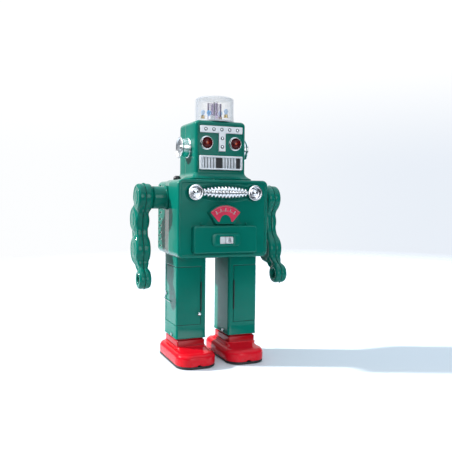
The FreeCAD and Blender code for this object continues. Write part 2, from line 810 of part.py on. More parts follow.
def arm_half(side, which):
    """One stamped half of an arm, hollow, open at the seam."""
    sign = SIDES[side]
    seam = "(arm_inner + arm_outer) / 2"
    outward = (which == "outer") == (sign > 0)
    rim = f"{sign} * ({seam} {'+' if which == 'outer' else '-'} 0.15)"
    depth = "(arm_outer - arm_inner) / 2 - 0.15"
    body = new_body(f"{side}_arm_{which}")
    arm_outline(body, rim, depth, "0", pad, not outward)
    arm_outline(body, rim, f"{depth} - wall", "wall", pocket, outward)
    hole = circle(new_sketch(body, "YZ", f"{sign} * (arm_inner - 5)"), "hand_hole", "hand_dy", "hand_dz")
    pocket(body, hole, "40", sign > 0)
    if which == "inner":
        bore = circle(new_sketch(body, "YZ", f"{sign} * (arm_inner - 5)"), "arm_shaft - 0.02", "0", "0")
        pocket(body, bore, "40", sign > 0)
    body.Placement = FreeCAD.Placement(FreeCAD.Vector(), FreeCAD.Rotation(FreeCAD.Vector(1, 0, 0), 5))
    place(body, "0", "shoulder_y", "shoulder_z")
    bind(body, "Placement.Rotation.Angle", f"{-sign} * arm_lean")


def arm_shaft(side):
    """Shaft from inside the torso into the arm, with the lever that drives it."""
    low, high = span(side, "torso_half - 18", "(arm_inner + arm_outer) / 2 + 6")
    shaft = rod("X", "arm_shaft", "(arm_inner + arm_outer) / 2 + 6 - torso_half + 18", low,
                "shoulder_y", "shoulder_z")
    lever = box(*span(side, "torso_half - 18", "torso_half - 16.5"), "shoulder_y - 4", "shoulder_y + 4",
                "shoulder_z - 16", "shoulder_z + 4")
    keep(fuse(shaft, lever), f"{side}_arm_shaft")


# ---- legs --------------------------------------------------------------------------------------

def leg_shell(side):
    wide = span(side, "leg_inner", "leg_outer")
    hollow = span(side, "leg_inner + leg_wall", "leg_outer - leg_wall")
    doorway = span(side, "door_edge", "leg_outer + 1")
    outer = box(*wide, "leg_front", "leg_back", "leg_low", "leg_high")
    inner = box(*hollow, "leg_front + leg_wall", "leg_back - leg_wall", "leg_low - 1",
                "leg_high - leg_wall")
    opening = box(*doorway, "leg_front - 1", "door_back", "door_low", "door_high")
    axle = rod("X", "hip_radius + slip", "leg_outer - leg_inner + 4",
               span(side, "leg_inner - 2", "leg_outer + 2")[0], "hip_y", "hip_z")
    link = box(*span(side, "leg_inner + 0.7", "leg_inner + 4.5"), "hip_y + link_dy - 6",
               "hip_y + link_dy + 6", "leg_high - 2", "leg_high + 1")
    stud = box(*span(side, "leg_inner - 1", "leg_inner + leg_wall + 1"), "hip_y + link_dy - 1.6",
               "hip_y + link_dy + 1.6", "hip_z - 3.4", "hip_z + 3.4")
    pin = rod("X", "ankle_pin + 0.02", "leg_outer - leg_inner + 4",
              span(side, "leg_inner - 2", "leg_outer + 2")[0], "ankle_y", "ankle_z")
    tin = cut(outer, inner, opening, axle, link, stud, pin)
    keep(fuse(tin, door_hinge(side)), f"{side}_leg_shell")


def leg_lever(side):
    """Upright fork on top of the leg; its slot is wide, as the crank pin is not tied to it."""
    plate = box(*span(side, "18.5", "19.7"), "hip_y - 11.5", "hip_y + 11.5", "leg_high + 0.02",
                "crank_z + 5")
    slot = box(*span(side, "17", "21"), "hip_y - 7.8", "hip_y + 7.8", "crank_z - 8.5", "crank_z + 6")
    foot = box(*span(side, "18.5", "28"), "hip_y - 11.5", "hip_y + 11.5", "leg_high + 0.02",
               "leg_high + 1.2")
    return cut(fuse(plate, foot), slot)


def battery_door(side):
    """Sheet that wraps the outer front corner, with its hinge knuckle."""
    edge = "door_edge + gap"
    front = box(*span(side, edge, "leg_outer"), "leg_front", "leg_front + leg_wall", "door_low + gap",
                "door_high - gap")
    flank = box(*span(side, "leg_outer - leg_wall", "leg_outer"), "leg_front", "door_back - gap",
                "door_low + gap", "door_high - gap")
    leaf = box(*span(side, "door_edge + 0.2", "door_edge + 6"), "leg_front - 0.5", "leg_front",
               "hinge_low + 10.2", "hinge_high - 10.2")
    knuckle = rod("Z", "hinge_radius", "hinge_high - hinge_low - 20.4", mid(side, "door_edge + 0.2"),
                  "leg_front - hinge_proud", "hinge_low + 10.2")
    bore = rod("Z", "0.45", "60", mid(side, "door_edge + 0.2"), "leg_front - hinge_proud",
               "hinge_low - 5")
    pieces = [front, flank, leaf, knuckle, latch_post(side)]
    if side == "right":
        pieces.append(door_knob())
    keep(cut(fuse(*pieces), bore), f"{side}_battery_door")


def door_hinge(side):
    """The leg's own knuckles with the pin through them."""
    x = mid(side, "door_edge + 0.2")
    y = "leg_front - hinge_proud"
    pieces = [rod("Z", "0.4", "hinge_high - hinge_low", x, y, "hinge_low")]
    for low in ("hinge_low", "hinge_high - 10"):
        pieces.append(rod("Z", "hinge_radius", "10", x, y, low))
        pieces.append(box(*span(side, "door_edge - 4", "door_edge + 0.2"), "leg_front - 0.5",
                          "leg_front + 0.3", low, f"{low} + 10"))
    return fuse(*pieces)


def door_latch(side):
    """Wire latch that turns on an eyelet near the back edge of the door."""
    sign = SIDES[side]
    out = "leg_outer + 0.6"
    eye = rod("X", "2.6", "1.2", span(side, out, f"{out} + 1.2")[0], "latch_y - 1.5", "latch_z")
    drop = box(*span(side, out, f"{out} + 1.2"), "latch_y - 2.2", "latch_y - 0.8", "latch_z - 8",
               "latch_z")
    bar = rod("Y", "0.75", "28", f"{sign} * (leg_outer + 1.2)", "latch_y - 18.5", "latch_z - 8")
    keep(fuse(eye, drop, bar), f"{side}_door_latch")


def latch_post(side):
    return rod("X", "1.2", "0.7", span(side, "leg_outer - 0.2", "leg_outer + 0.5")[0], "latch_y - 1.5",
               "latch_z")


def door_knob():
    x = "-door_edge - 3.2"
    stem = rod("Y", "1.2", "2.9", x, "leg_front - 2.62", "knob_z")
    head = doc.addObject("Part::Sphere", "knob_head")
    bind(head, "Radius", "2.6")
    place(head, x, "leg_front - 3.6", "knob_z")
    return fuse(stem, head)


def battery_cells():
    for side in SIDES:
        x = mid(side, "(leg_inner + leg_outer) / 2")
        can = rod("Z", "cell_radius", "cell_length - 3.5", x, "cell_y", "cell_low")
        cap = rod("Z", "4.8", "3.5", x, "cell_y", "cell_low + cell_length - 3.5")
        keep(fuse(can, cap), f"{side}_battery_cell")


def battery_contacts(side):
    x = mid(side, "(leg_inner + leg_outer) / 2")
    low = rod("Z", "7", "0.4", x, "cell_y", "cell_low - 0.45")
    shelf = box(*span(side, "leg_inner + leg_wall + 3.2", "leg_outer - leg_wall - 0.6"), "cell_y - 12",
                "cell_y + 12", "cell_low - 1.5", "cell_low - 0.5")
    top = box(*span(side, "leg_inner + leg_wall + 5.2", "leg_outer - leg_wall - 3"), "cell_y - 5",
              "cell_y + 5", "cell_low + cell_length + 0.05", "cell_low + cell_length + 0.5")
    return [low, shelf, top]


# ---- feet --------------------------------------------------------------------------------------

def foot_plan(body, offset, inset):
    return rectangle(new_sketch(body, "XY", offset), f"-foot_half + {inset}", f"foot_half - {inset}",
                     f"foot_front + {inset}", f"foot_back - {inset}")


def shoe(side):
    body = doc.addObject("PartDesign::Body", "shoe_pressing")
    pad(body, foot_plan(body, "sole_thick", "0"), "shoe_high - sole_thick")
    soften(body, "foot_corner", runs_along("Z"))
    soften(body, "shoe_round", lies_at("Z", size("shoe_high")))
    place(body, mid(side, "foot_x"), "0", "0")
    hollow = doc.addObject("PartDesign::Body", "shoe_hollow")
    pad(hollow, foot_plan(hollow, "sole_thick - 1", "1.2"), "shoe_high - sole_thick - 0.2")
    soften(hollow, "foot_corner - 1.2", runs_along("Z"))
    soften(hollow, "shoe_round - 1", lies_at("Z", size("shoe_high") - 1.2))
    place(hollow, mid(side, "foot_x"), "0", "0")
    keep(cut(body, hollow), f"{side}_shoe")


def sole(side):
    body = doc.addObject("PartDesign::Body", "sole_plate")
    pad(body, foot_plan(body, "0", "0.3"), "sole_thick - 0.05")
    soften(body, "foot_corner - 0.3", runs_along("Z"))
    place(body, mid(side, "foot_x"), "0", "0")
    centre = mid(side, "foot_x")
    slot = box(f"{centre} - roller_width / 2 - 1.5", f"{centre} + roller_width / 2 + 1.5",
               "roller_y - roller_radius - 1.5", "roller_y + roller_radius + 1.5", "-1", "sole_thick + 1")
    cheeks = [rod("X", "1", "roller_width + 6", f"{centre} - roller_width / 2 - 3", "roller_y", "roller_z")]
    for reach in ("-roller_width / 2 - 3", "roller_width / 2 + 1.6"):
        cheeks.append(box(f"{centre} + {reach}", f"{centre} + {reach} + 1.4", "roller_y - 4", "roller_y + 4",
                          "sole_thick - 0.06", "roller_z + 3.5"))
    keep(fuse(cut(body, slot), *cheeks), f"{side}_sole")


def roller(side):
    low = f"{mid(side, 'foot_x')} - roller_width / 2"
    keep(cut(rod("X", "roller_radius", "roller_width", low, "roller_y", "roller_z"),
             rod("X", "1 + slip", "roller_width + 2", f"{low} - 1", "roller_y", "roller_z")),
         f"{side}_sole_roller")


def ankle_block(side):
    """Dark red block on the shoe that the leg stands on, narrower where it enters the leg."""
    foot = box(*span(side, "leg_inner + 1.2", "leg_outer - 1.2"), "leg_front + 0.4", "leg_back - 1",
               "shoe_high + 0.02", "leg_low - 4.6")
    neck = box(*span(side, "leg_inner + 2.4", "leg_outer - 2.4"), "leg_front + 3.2", "leg_back - 5",
               "shoe_high + 0.02", "ankle_z + 4")
    bore = rod("X", "ankle_pin + slip", "leg_outer + 4", span(side, "0", "leg_outer + 4")[0], "ankle_y",
               "ankle_z")
    room = box(*span(side, "leg_inner", "leg_inner + 4.8"), "ankle_y + link_dy - 8",
               "leg_back", "leg_low - 3", "ankle_z + 6")
    stud = rod("X", "1.0", "4", span(side, "leg_inner + 0.9", "leg_inner + 4.9")[0],
               "ankle_y + link_dy", "ankle_z")
    keep(fuse(cut(fuse(foot, neck), bore, room), stud), f"{side}_ankle_block")


def ankle_pin(side):
    return rod("X", "ankle_pin", "leg_outer - leg_inner + 3",
               span(side, "leg_inner - 1.5", "leg_outer + 1.5")[0], "ankle_y", "ankle_z")


def leg_frame(side):
    """What is fixed inside the leg shell: fork, cell contacts and ankle pin."""
    keep(group(leg_lever(side), *battery_contacts(side), ankle_pin(side)), f"{side}_leg_frame")


def ankle_link(side):
    """Flat link parallel to the leg; its lower hole has room round the stud."""
    tilt = math.degrees(math.atan2(size("hip_y") - size("ankle_y"), size("hip_z") - size("ankle_z")))
    body = new_body(f"{side}_ankle_link")
    reach = "sqrt((hip_y - ankle_y) ^ 2 + (hip_z - ankle_z) ^ 2)"
    plane = mid(side, "leg_inner + 1.6") if SIDES[side] > 0 else "-leg_inner - 2.6"
    pad(body, rectangle(new_sketch(body, "YZ", plane), "-2", "2", f"-({reach}) - 2.6", "2.6"), "1")
    for height, radius in (("0", "1.0 + slip"), (f"-({reach})", "1.5")):
        pocket(body, circle(new_sketch(body, "YZ", plane), radius, "0", height), "1", True)
    body.Placement = FreeCAD.Placement(FreeCAD.Vector(),
                                       FreeCAD.Rotation(FreeCAD.Vector(1, 0, 0), -tilt))
    place(body, "0", "hip_y + link_dy", "hip_z")


# ---- drive -------------------------------------------------------------------------------------

def gearbox_plate(side):
    low, high = span(side, "plate_x", "plate_x + plate_thick")
    plate = box(low, high, "-22", "30", "torso_low + wall + 0.05", "186")
    far = f"{low} - 1"
    idler_y = "hip_y + (crank_teeth + pinion_teeth) / 2 * tooth_module * cos(idler_angle * 1deg)"
    idler_z = "crank_z + (crank_teeth + pinion_teeth) / 2 * tooth_module * sin(idler_angle * 1deg)"
    holes = [rod("X", "2 + slip", "4", far, "hip_y", "crank_z"),
             rod("X", "hip_radius - 0.02", "4", far, "hip_y", "hip_z"),
             rod("X", "1.5 + slip", "4", far, idler_y, idler_z),
             rod("X", "2.4", "4", far, "dome_y", idler_z),
             rod("X", "1.2", "4", far, "hip_y + link_dy", "hip_z")]
    return cut(plate, *holes)


def gearbox_frame():
    """Two side plates joined by spacer posts, with the bracket under them that carries the hip axle."""
    posts = [rod("X", "1.8", "2 * plate_x", "-plate_x", y, z)
             for y, z in (("-18", "torso_low + 6"), ("26", "torso_low + 6"), ("-18", "182"))]
    cover_floor = box("-plate_x - 2", "plate_x + 2", "torso_seam - 0.2", "32", "torso_low",
                      "torso_low + cover_inset + wall + 0.05")
    plates = fuse(*[gearbox_plate(side) for side in SIDES], *posts)
    keep(cut(plates, cover_floor), "gearbox_frame")


def hip_parts():
    axle = rod("X", "hip_radius", "2 * leg_outer + 3.8", "-leg_outer - 1.9", "hip_y", "hip_z")
    bracket = box("-8", "8", "hip_y - 5", "hip_y + 5", "torso_low - 4", "torso_low - 0.02")
    studs = [rod("X", "1.0", "leg_inner + 3 - plate_x - plate_thick",
                 span(side, "plate_x + plate_thick + 0.02", "leg_inner + 3.02")[0], "hip_y + link_dy",
                 "hip_z") for side in SIDES]
    keep(group(axle, bracket, *studs), "hip_axle")


def toothed_wheel(teeth, x_low, width, bore, centre_y, centre_z, turn):
    """A spur wheel made from a root disc, one tooth and a polar pattern, in its own frame."""
    body = doc.addObject("PartDesign::Body", "wheel")
    pitch = f"({teeth} * tooth_module / 2)"
    root = f"({pitch} - 0.9 * tooth_module)"
    tip = f"({pitch} + 0.72 * tooth_module)"
    pad(body, circle(new_sketch(body, "YZ", x_low), root, "0", "0"), width)
    tooth = outline(new_sketch(body, "YZ", x_low), [
        (f"{root} - 0.3", "-0.86 * tooth_module"), (tip, "-0.3 * tooth_module"),
        (tip, "0.3 * tooth_module"), (f"{root} - 0.3", "0.86 * tooth_module")])
    one = pad(body, tooth, width)
    ring = body.newObject("PartDesign::PolarPattern", "teeth")
    ring.Originals = [one]
    ring.Axis = (tooth, ["N_Axis"])
    ring.Angle = 360
    bind(ring, "Occurrences", teeth)
    body.Tip = ring
    doc.recompute()
    pocket(body, circle(new_sketch(body, "YZ", x_low), bore, "0", "0"), width, True)
    body.Placement = FreeCAD.Placement(FreeCAD.Vector(), FreeCAD.Rotation(FreeCAD.Vector(1, 0, 0), turn))
    return place(body, "0", centre_y, centre_z)


CRANK_REACH = "(crank_teeth + pinion_teeth) / 2 * tooth_module"
IDLER_Y = f"hip_y + {CRANK_REACH} * cos(idler_angle * 1deg)"
IDLER_Z = f"crank_z + {CRANK_REACH} * sin(idler_angle * 1deg)"
MOTOR_Y = f"{IDLER_Y} - (idler_teeth + pinion_teeth) / 2 * tooth_module"


def idler():
    """Large wheel driven by the motor and small wheel that drives the crank gear, on one shaft."""
    half_pitch = 180 / size("pinion_teeth")
    first_gap = (size("idler_angle") + 180 + half_pitch) % (2 * half_pitch)
    pinion = toothed_wheel("pinion_teeth", "train_x + 2.9", "5", "1.4", IDLER_Y, IDLER_Z, first_gap)
    wheel = toothed_wheel("idler_teeth", "train_x", "3", "1.4", IDLER_Y, IDLER_Z, 0)
    shaft = rod("X", "1.5", "2 * plate_x + 3", "-plate_x - 1.5", IDLER_Y, IDLER_Z)
    keep(fuse(shaft, pinion, wheel), "idler_gear")


def crank():
    """Shaft with a disc and pin at each end, the pins half a turn apart."""
    pieces = [rod("X", "2", "2 * plate_x + 13.5", "-plate_x - 6.75", "hip_y", "crank_z")]
    for side in SIDES:
        pieces.append(rod("X", "crank_disc", "2", span(side, "plate_x + 4.75", "plate_x + 6.75")[0],
                          "hip_y", "crank_z"))
        pieces.append(rod("X", "crank_pin", "5", span(side, "plate_x + 6", "plate_x + 11")[0],
                          "hip_y", f"crank_z + {SIDES[side]} * crank_throw"))
    keep(fuse(*pieces), "crank_shaft")
    keep(toothed_wheel("crank_teeth", "train_x + 4", "3.5", "2", "hip_y", "crank_z", 0), "crank_gear")


def motor_parts():
    """Motor can outside one plate; its shaft carries the pinion and the friction roller."""
    keep(rod("X", "motor_radius", "motor_length", "-plate_x - plate_thick - motor_length - 0.05", MOTOR_Y,
             IDLER_Z), "motor")
    shaft = rod("X", "1.0", "plate_x + plate_thick + drive_contact + 2", "-plate_x - plate_thick + 0.05",
                MOTOR_Y, IDLER_Z)
    wheel = rod("X", "roller_drive", "1.6", "drive_contact - 0.8", MOTOR_Y, IDLER_Z)
    pinion = toothed_wheel("pinion_teeth", "train_x - 0.1", "3.2", "0.9", MOTOR_Y, IDLER_Z,
                           180 / size("pinion_teeth"))
    keep(fuse(shaft, wheel, pinion), "motor_pinion")


def light_spinner():
    """Friction disc, upright shaft and four coloured vanes that turn inside the dome."""
    bottom = f"{IDLER_Z} + roller_drive + 0.3"
    disc = rod("Z", "drive_contact + 2.2", "1.6", "0", MOTOR_Y, bottom)
    shaft = rod("Z", "1.2", f"spinner_high - 2 - ({bottom})", "0", MOTOR_Y, bottom)
    vanes = [box("-spinner_radius", "spinner_radius", f"{MOTOR_Y} - 0.3", f"{MOTOR_Y} + 0.3",
                 "head_high + 4", "spinner_high - 3"),
             box("-0.3", "0.3", f"{MOTOR_Y} - spinner_radius", f"{MOTOR_Y} + spinner_radius",
                 "head_high + 4", "spinner_high - 3")]
    keep(fuse(disc, shaft), "spinner_shaft")
    keep(cut(fuse(*vanes), rod("Z", "1.2", "60", "0", MOTOR_Y, "head_high")), "spinner_vanes")


def smoke_parts():
    """A closed pot beside the drive and the tube that rises from it into the head."""
    pot_x = "smoke_x + 14"
    unit = cut(rod("Z", "smoke_radius", "24", pot_x, "smoke_y", "smoke_low"),
               rod("Z", "smoke_radius - 1", "22", pot_x, "smoke_y", "smoke_low + 1"))
    tube = fuse(rod("Z", "smoke_tube", "42", "smoke_x", "smoke_y", "smoke_low + 19"),
                rod("X", "smoke_tube", "6", "smoke_x", "smoke_y", "smoke_low + 19"))
    keep(fuse(unit, tube), "smoke_unit")


def build():
    torso_front_shell()
    torso_back_cover()
    keep(group(*cover_screws()), "cover_screws")
    keep(group(*[shoulder_barrel(side) for side in SIDES]), "shoulder_barrels")
    head_shells()
    face_panel()
    brow_nose_trim()
    face_rivets()
    eyes()
    mouth()
    ears()
    dome()
    lamps()
    chest_horns()
    ribbed_bar()
    gauge()
    control_box()
    switch_knob()
    filler_plug()
    for side in SIDES:
        for which in ("outer", "inner"):
            arm_half(side, which)
        arm_shaft(side)
        leg_shell(side)
        leg_frame(side)
        battery_door(side)
        door_latch(side)
        shoe(side)
        sole(side)
        roller(side)
        ankle_block(side)
        ankle_link(side)
    battery_cells()
    gearbox_frame()
    hip_parts()
    crank()
    idler()
    motor_parts()
    light_spinner()
    smoke_parts()


def check_and_write():
    doc.recompute()
    for obj in doc.Objects:
        if "Invalid" in obj.State or "Error" in obj.State:
            raise RuntimeError(f"{obj.Label} ({obj.Name}) failed: {obj.State}")
    for node in nodes:
        if node.Shape.isNull() or not node.Shape.isValid():
            raise RuntimeError(f"{node.Label} has no valid shape")
        node.Shape.exportStep(f"parts/{node.Label}.step")
    print(len(nodes), "sub-parts written")


build()
check_and_write()
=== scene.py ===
import json
import math
import bmesh
import bpy
from mathutils import Matrix, Vector
from mathutils.geometry import delaunay_2d_cdt


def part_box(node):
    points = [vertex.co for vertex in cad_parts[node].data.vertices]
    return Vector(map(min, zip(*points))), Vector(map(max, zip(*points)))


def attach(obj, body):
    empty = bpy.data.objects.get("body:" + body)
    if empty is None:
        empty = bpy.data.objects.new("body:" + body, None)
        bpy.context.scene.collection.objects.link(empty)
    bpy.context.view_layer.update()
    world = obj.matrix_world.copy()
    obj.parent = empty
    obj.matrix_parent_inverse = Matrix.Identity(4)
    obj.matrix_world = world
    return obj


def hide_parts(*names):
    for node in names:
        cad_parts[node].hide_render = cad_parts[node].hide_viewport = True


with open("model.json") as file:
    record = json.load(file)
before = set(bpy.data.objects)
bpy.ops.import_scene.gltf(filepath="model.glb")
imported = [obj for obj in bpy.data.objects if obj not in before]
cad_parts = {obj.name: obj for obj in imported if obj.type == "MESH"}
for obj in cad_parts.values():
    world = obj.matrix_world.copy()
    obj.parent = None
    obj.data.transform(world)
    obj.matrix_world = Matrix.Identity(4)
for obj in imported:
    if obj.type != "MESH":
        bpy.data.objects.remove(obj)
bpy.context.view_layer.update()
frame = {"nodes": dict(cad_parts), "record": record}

# A tin walking robot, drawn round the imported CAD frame. Sizes in this file are millimetres in the
# frame's own axes: +X is the robot's left, the face looks along -Y, +Z is up. add_piece turns them
# into metres.

MM = 0.001
TAU = 2 * math.pi
SIDES = (("right", -1), ("left", 1))


def span(node):
    """The lowest and highest corners of a CAD node, in millimetres."""
    low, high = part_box(node)
    return [v / MM for v in low], [v / MM for v in high]


def smooth_step(low, high, value):
    share = min(1.0, max(0.0, (value - low) / (high - low)))
    return share * share * (3 - 2 * share)


# ---------------------------------------------------------------- outlines

def fillet(points, radius, steps=5, closed=True):
    """Round the corners of a path of points; radius is one value, or one per corner."""
    count = len(points)
    radii = radius if isinstance(radius, (list, tuple)) else [radius] * count
    path = []
    for k, corner in enumerate(points):
        end_point = not closed and k in (0, count - 1)
        if radii[k] <= 0 or end_point:
            path.append(Vector(corner))
            continue
        here = Vector(corner)
        back = Vector(points[k - 1]) - here
        ahead = Vector(points[(k + 1) % count]) - here
        half_turn = back.angle(ahead) / 2
        reach = min(radii[k] / math.tan(half_turn), 0.499 * min(back.length, ahead.length))
        middle = (back.normalized() + ahead.normalized()).normalized()
        centre = here + middle * (reach / math.cos(half_turn))
        first = here + back.normalized() * reach - centre
        last = here + ahead.normalized() * reach - centre
        sweep = first.angle(last)
        for step in range(steps + 1):
            share = step / steps
            path.append(centre + (first * math.sin((1 - share) * sweep)
                                  + last * math.sin(share * sweep)) / math.sin(sweep))
    return path


def rounded_rect(left, right, low, high, corner, steps=5):
    return fillet([(left, low), (right, low), (right, high), (left, high)], corner, steps)


def densify(ring, longest):
    """Add points to a closed ring wherever two neighbours are far apart."""
    dense = []
    for k, here in enumerate(ring):
        ahead = ring[(k + 1) % len(ring)]
        parts = max(1, math.ceil((ahead - here).length / longest))
        dense += [here.lerp(ahead, part / parts) for part in range(parts)]
    return dense


def inset(ring, distance):
    """Move a counter-clockwise ring inwards by distance."""
    moved = []
    for k, here in enumerate(ring):
        before = (here - ring[k - 1]).normalized()
        after = (ring[(k + 1) % len(ring)] - here).normalized()
        along = (before + after).normalized()
        reach = distance / max(0.4, along.dot(after))
        moved.append(here + Vector((-along.y, along.x)) * reach)
    return moved


def rect_depth(u, v, left, right, low, high, corner):
    """How far a point lies inside a rounded rectangle; negative outside."""
    du = abs(u - (left + right) / 2) - (right - left) / 2 + corner
    dv = abs(v - (low + high) / 2) - (high - low) / 2 + corner
    outside = math.hypot(max(du, 0.0), max(dv, 0.0))
    return corner - outside - min(max(du, dv), 0.0)


# ---------------------------------------------------------------- meshes

def put(name, data):
    """A new object in the scene."""
    obj = bpy.data.objects.new(name, data)
    bpy.context.scene.collection.objects.link(obj)
    return obj


def add_piece(name, verts, faces, material, body, nodes=(), slot=None, sharp=40.0, smooth=True):
    """Make one piece from points in millimetres and put it on its body."""
    mesh = bpy.data.meshes.new(name)
    mesh.from_pydata([Vector(v) * MM for v in verts], [], faces)
    work = bmesh.new()
    work.from_mesh(mesh)
    bmesh.ops.remove_doubles(work, verts=work.verts, dist=0.002 * MM)
    bmesh.ops.dissolve_degenerate(work, edges=work.edges, dist=0.0005 * MM)
    bmesh.ops.recalc_face_normals(work, faces=work.faces)
    for face in work.faces:
        face.smooth = smooth
    for edge in work.edges:
        edge.smooth = edge.calc_face_angle(0.0) < math.radians(sharp)
    work.to_mesh(mesh)
    work.free()
    piece = put(name, mesh)
    mesh.materials.append(material)
    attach(piece, body)
    if nodes:
        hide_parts(*nodes)
    return piece


def thicken(piece, wall):
    """Give an outer skin its wall, inwards."""
    solid = piece.modifiers.new("wall", "SOLIDIFY")
    solid.thickness = wall * MM
    solid.offset = -1
    solid.use_even_offset = True


def soften(piece, width, angle=35.0):
    """Round a piece's edges with a small bevel."""
    bevel = piece.modifiers.new("edges", "BEVEL")
    bevel.width = width * MM
    bevel.segments = 2
    bevel.limit_method = "ANGLE"
    bevel.angle_limit = math.radians(angle)
    normals = piece.modifiers.new("normals", "WEIGHTED_NORMAL")
    normals.keep_sharp = True


def merge(*parts):
    """Join several (verts, faces) pairs into one."""
    verts, faces = [], []
    for part_verts, part_faces in parts:
        start = len(verts)
        verts += list(part_verts)
        faces += [[start + k for k in face] for face in part_faces]
    return verts, faces


def trimmed(verts, faces):
    """Only the points that the faces use, with the faces numbered to match."""
    used = sorted({k for face in faces for k in face})
    renumber = {old: new for new, old in enumerate(used)}
    return [verts[k].copy() for k in used], [[renumber[k] for k in face] for face in faces]


def skin(rings, caps=True, loop=False):
    """Quads between rings of equally many points, with flat caps or joined into a loop."""
    count = len(rings[0])
    verts = [Vector(point) for ring in rings for point in ring]
    faces = []
    last = len(rings) if loop else len(rings) - 1
    for row in range(last):
        here, there = row * count, (row + 1) % len(rings) * count
        for k in range(count):
            ahead = (k + 1) % count
            faces.append([here + k, here + ahead, there + ahead, there + k])
    if caps and not loop:
        faces.append(list(range(count - 1, -1, -1)))
        faces.append([(len(rings) - 1) * count + k for k in range(count)])
    return verts, faces


def facing(face_y):
    """Places a front-facing drawing: the point (u, v) stands h in front of face_y."""
    def place(u, v, h):
        return Vector((u, face_y - h, v))
    return place


AXES = {
    "-Y": lambda a, b, h, at: Vector((at[0] + a, at[1] - h, at[2] + b)),
    "Y": lambda a, b, h, at: Vector((at[0] + a, at[1] + h, at[2] + b)),
    "X": lambda a, b, h, at: Vector((at[0] + h, at[1] + a, at[2] + b)),
    "-X": lambda a, b, h, at: Vector((at[0] - h, at[1] + a, at[2] + b)),
    "Z": lambda a, b, h, at: Vector((at[0] + a, at[1] + b, at[2] + h)),
}


def lathe(profile, axis, at, steps):
    """Turn (radius, height) pairs round an axis through a point."""
    rings = []
    for radius, height in profile:
        ring = []
        for k in range(steps):
            angle = TAU * k / steps
            reach = max(radius, 1e-4)
            ring.append(AXES[axis](reach * math.cos(angle), reach * math.sin(angle), height, at))
        rings.append(ring)
    closed_section = profile[0] == profile[-1]
    return skin(rings[:-1], loop=True) if closed_section else skin(rings)


def on_both_sides(profile, x, y, z, steps):
    """The same turned shape on each side of the robot, pointing outwards."""
    return merge(*(lathe(profile, "X" if sign > 0 else "-X", (sign * x, y, z), steps) for _, sign in SIDES))


def slab(outline, back, front, edge, place, chamfer=0.0, steps=4):
    """Raise a counter-clockwise outline from back to front with sloped sides and a rounded rim."""
    rings = [[place(p.x, p.y, back) for p in outline]]
    for step in range(steps + 1):
        angle = math.pi / 2 * step / steps
        ring = inset(outline, chamfer + edge * (1 - math.cos(angle)))
        rings.append([place(p.x, p.y, front - edge * (1 - math.sin(angle))) for p in ring])
    support = inset(outline, chamfer + edge + 0.25)
    rings.append([place(p.x, p.y, front) for p in support])
    return skin(rings)


def window_slab(outer, inner, back, front, edge, place, steps=3):
    """A raised frame: an outline with a hole, both rims rounded."""
    rings = [[place(p.x, p.y, back) for p in outer]]
    for step in range(steps + 1):
        angle = math.pi / 2 * step / steps
        ring = inset(outer, edge * (1 - math.cos(angle)))
        rings.append([place(p.x, p.y, front - edge * (1 - math.sin(angle))) for p in ring])
    for step in range(steps + 1):
        angle = math.pi / 2 * (1 - step / steps)
        ring = inset(inner, -edge * (1 - math.cos(angle)))
        rings.append([place(p.x, p.y, front - edge * (1 - math.sin(angle))) for p in ring])
    rings.append([place(p.x, p.y, back) for p in inner])
    return skin(rings, loop=True)


def relief(rings, spots, lift, hole=None):
    """Triangles through closed rings and loose points; lift turns each flat point into a place."""
    points, edges = [], []
    for ring in rings:
        start = len(points)
        points += [Vector(p) for p in ring]
        edges += [(start + k, start + (k + 1) % len(ring)) for k in range(len(ring))]
    points += [Vector(p) for p in spots]
    flat, _, triangles, *_ = delaunay_2d_cdt(points, edges, [], 1, 1e-4)
    if hole:
        triangles = [t for t in triangles if not hole(sum((flat[k] for k in t), Vector((0, 0))) / 3)]
    return [lift(p.x, p.y) for p in flat], [list(t) for t in triangles]


def grid(left, right, low, high, step):
    """Loose points, evenly spread over a rectangle."""
    across = max(1, round((right - left) / step))
    up = max(1, round((high - low) / step))
    return [Vector((left + (right - left) * i / across, low + (high - low) * j / up))
            for i in range(across + 1) for j in range(up + 1)]


def tube(path, radius, steps):
    """A round wire along a list of points."""
    rings = []
    side = None
    for k, here in enumerate(path):
        along = (path[min(k + 1, len(path) - 1)] - path[max(k - 1, 0)]).normalized()
        if side is None:
            side = along.orthogonal().normalized()
        side = (side - along * side.dot(along)).normalized()
        other = along.cross(side)
        rings.append([here + side * radius * math.cos(TAU * s / steps)
                      + other * radius * math.sin(TAU * s / steps) for s in range(steps)])
    return skin(rings)


# ---------------------------------------------------------------- materials

class Tree:
    """A node tree with short ways to add and join nodes."""

    def __init__(self, tree):
        self.tree = tree

    def add(self, kind, **values):
        node = self.tree.nodes.new(kind)
        for key, value in values.items():
            if key in node.inputs:
                node.inputs[key].default_value = value
            else:
                setattr(node, key, value)
        return node

    def join(self, source, node, socket):
        self.tree.links.new(source, node.inputs[socket])

    def rise(self, source, low, high, **more):
        """A value that goes from 0 to 1 as source goes from low to high."""
        node = self.add("ShaderNodeMapRange", **{"From Min": low, "From Max": high}, **more)
        self.join(source, node, "Value")
        return node.outputs["Result"]

    def blend(self, share, first, second):
        """The first colour where share is 0 and the second where it is 1; each a colour or a socket."""
        mix = self.add("ShaderNodeMix", data_type="RGBA")
        self.join(share, mix, 0)
        for socket, value in ((6, first), (7, second)):
            if isinstance(value, tuple):
                mix.inputs[socket].default_value = (*value, 1.0)
            else:
                self.join(value, mix, socket)
        return mix.outputs[2]


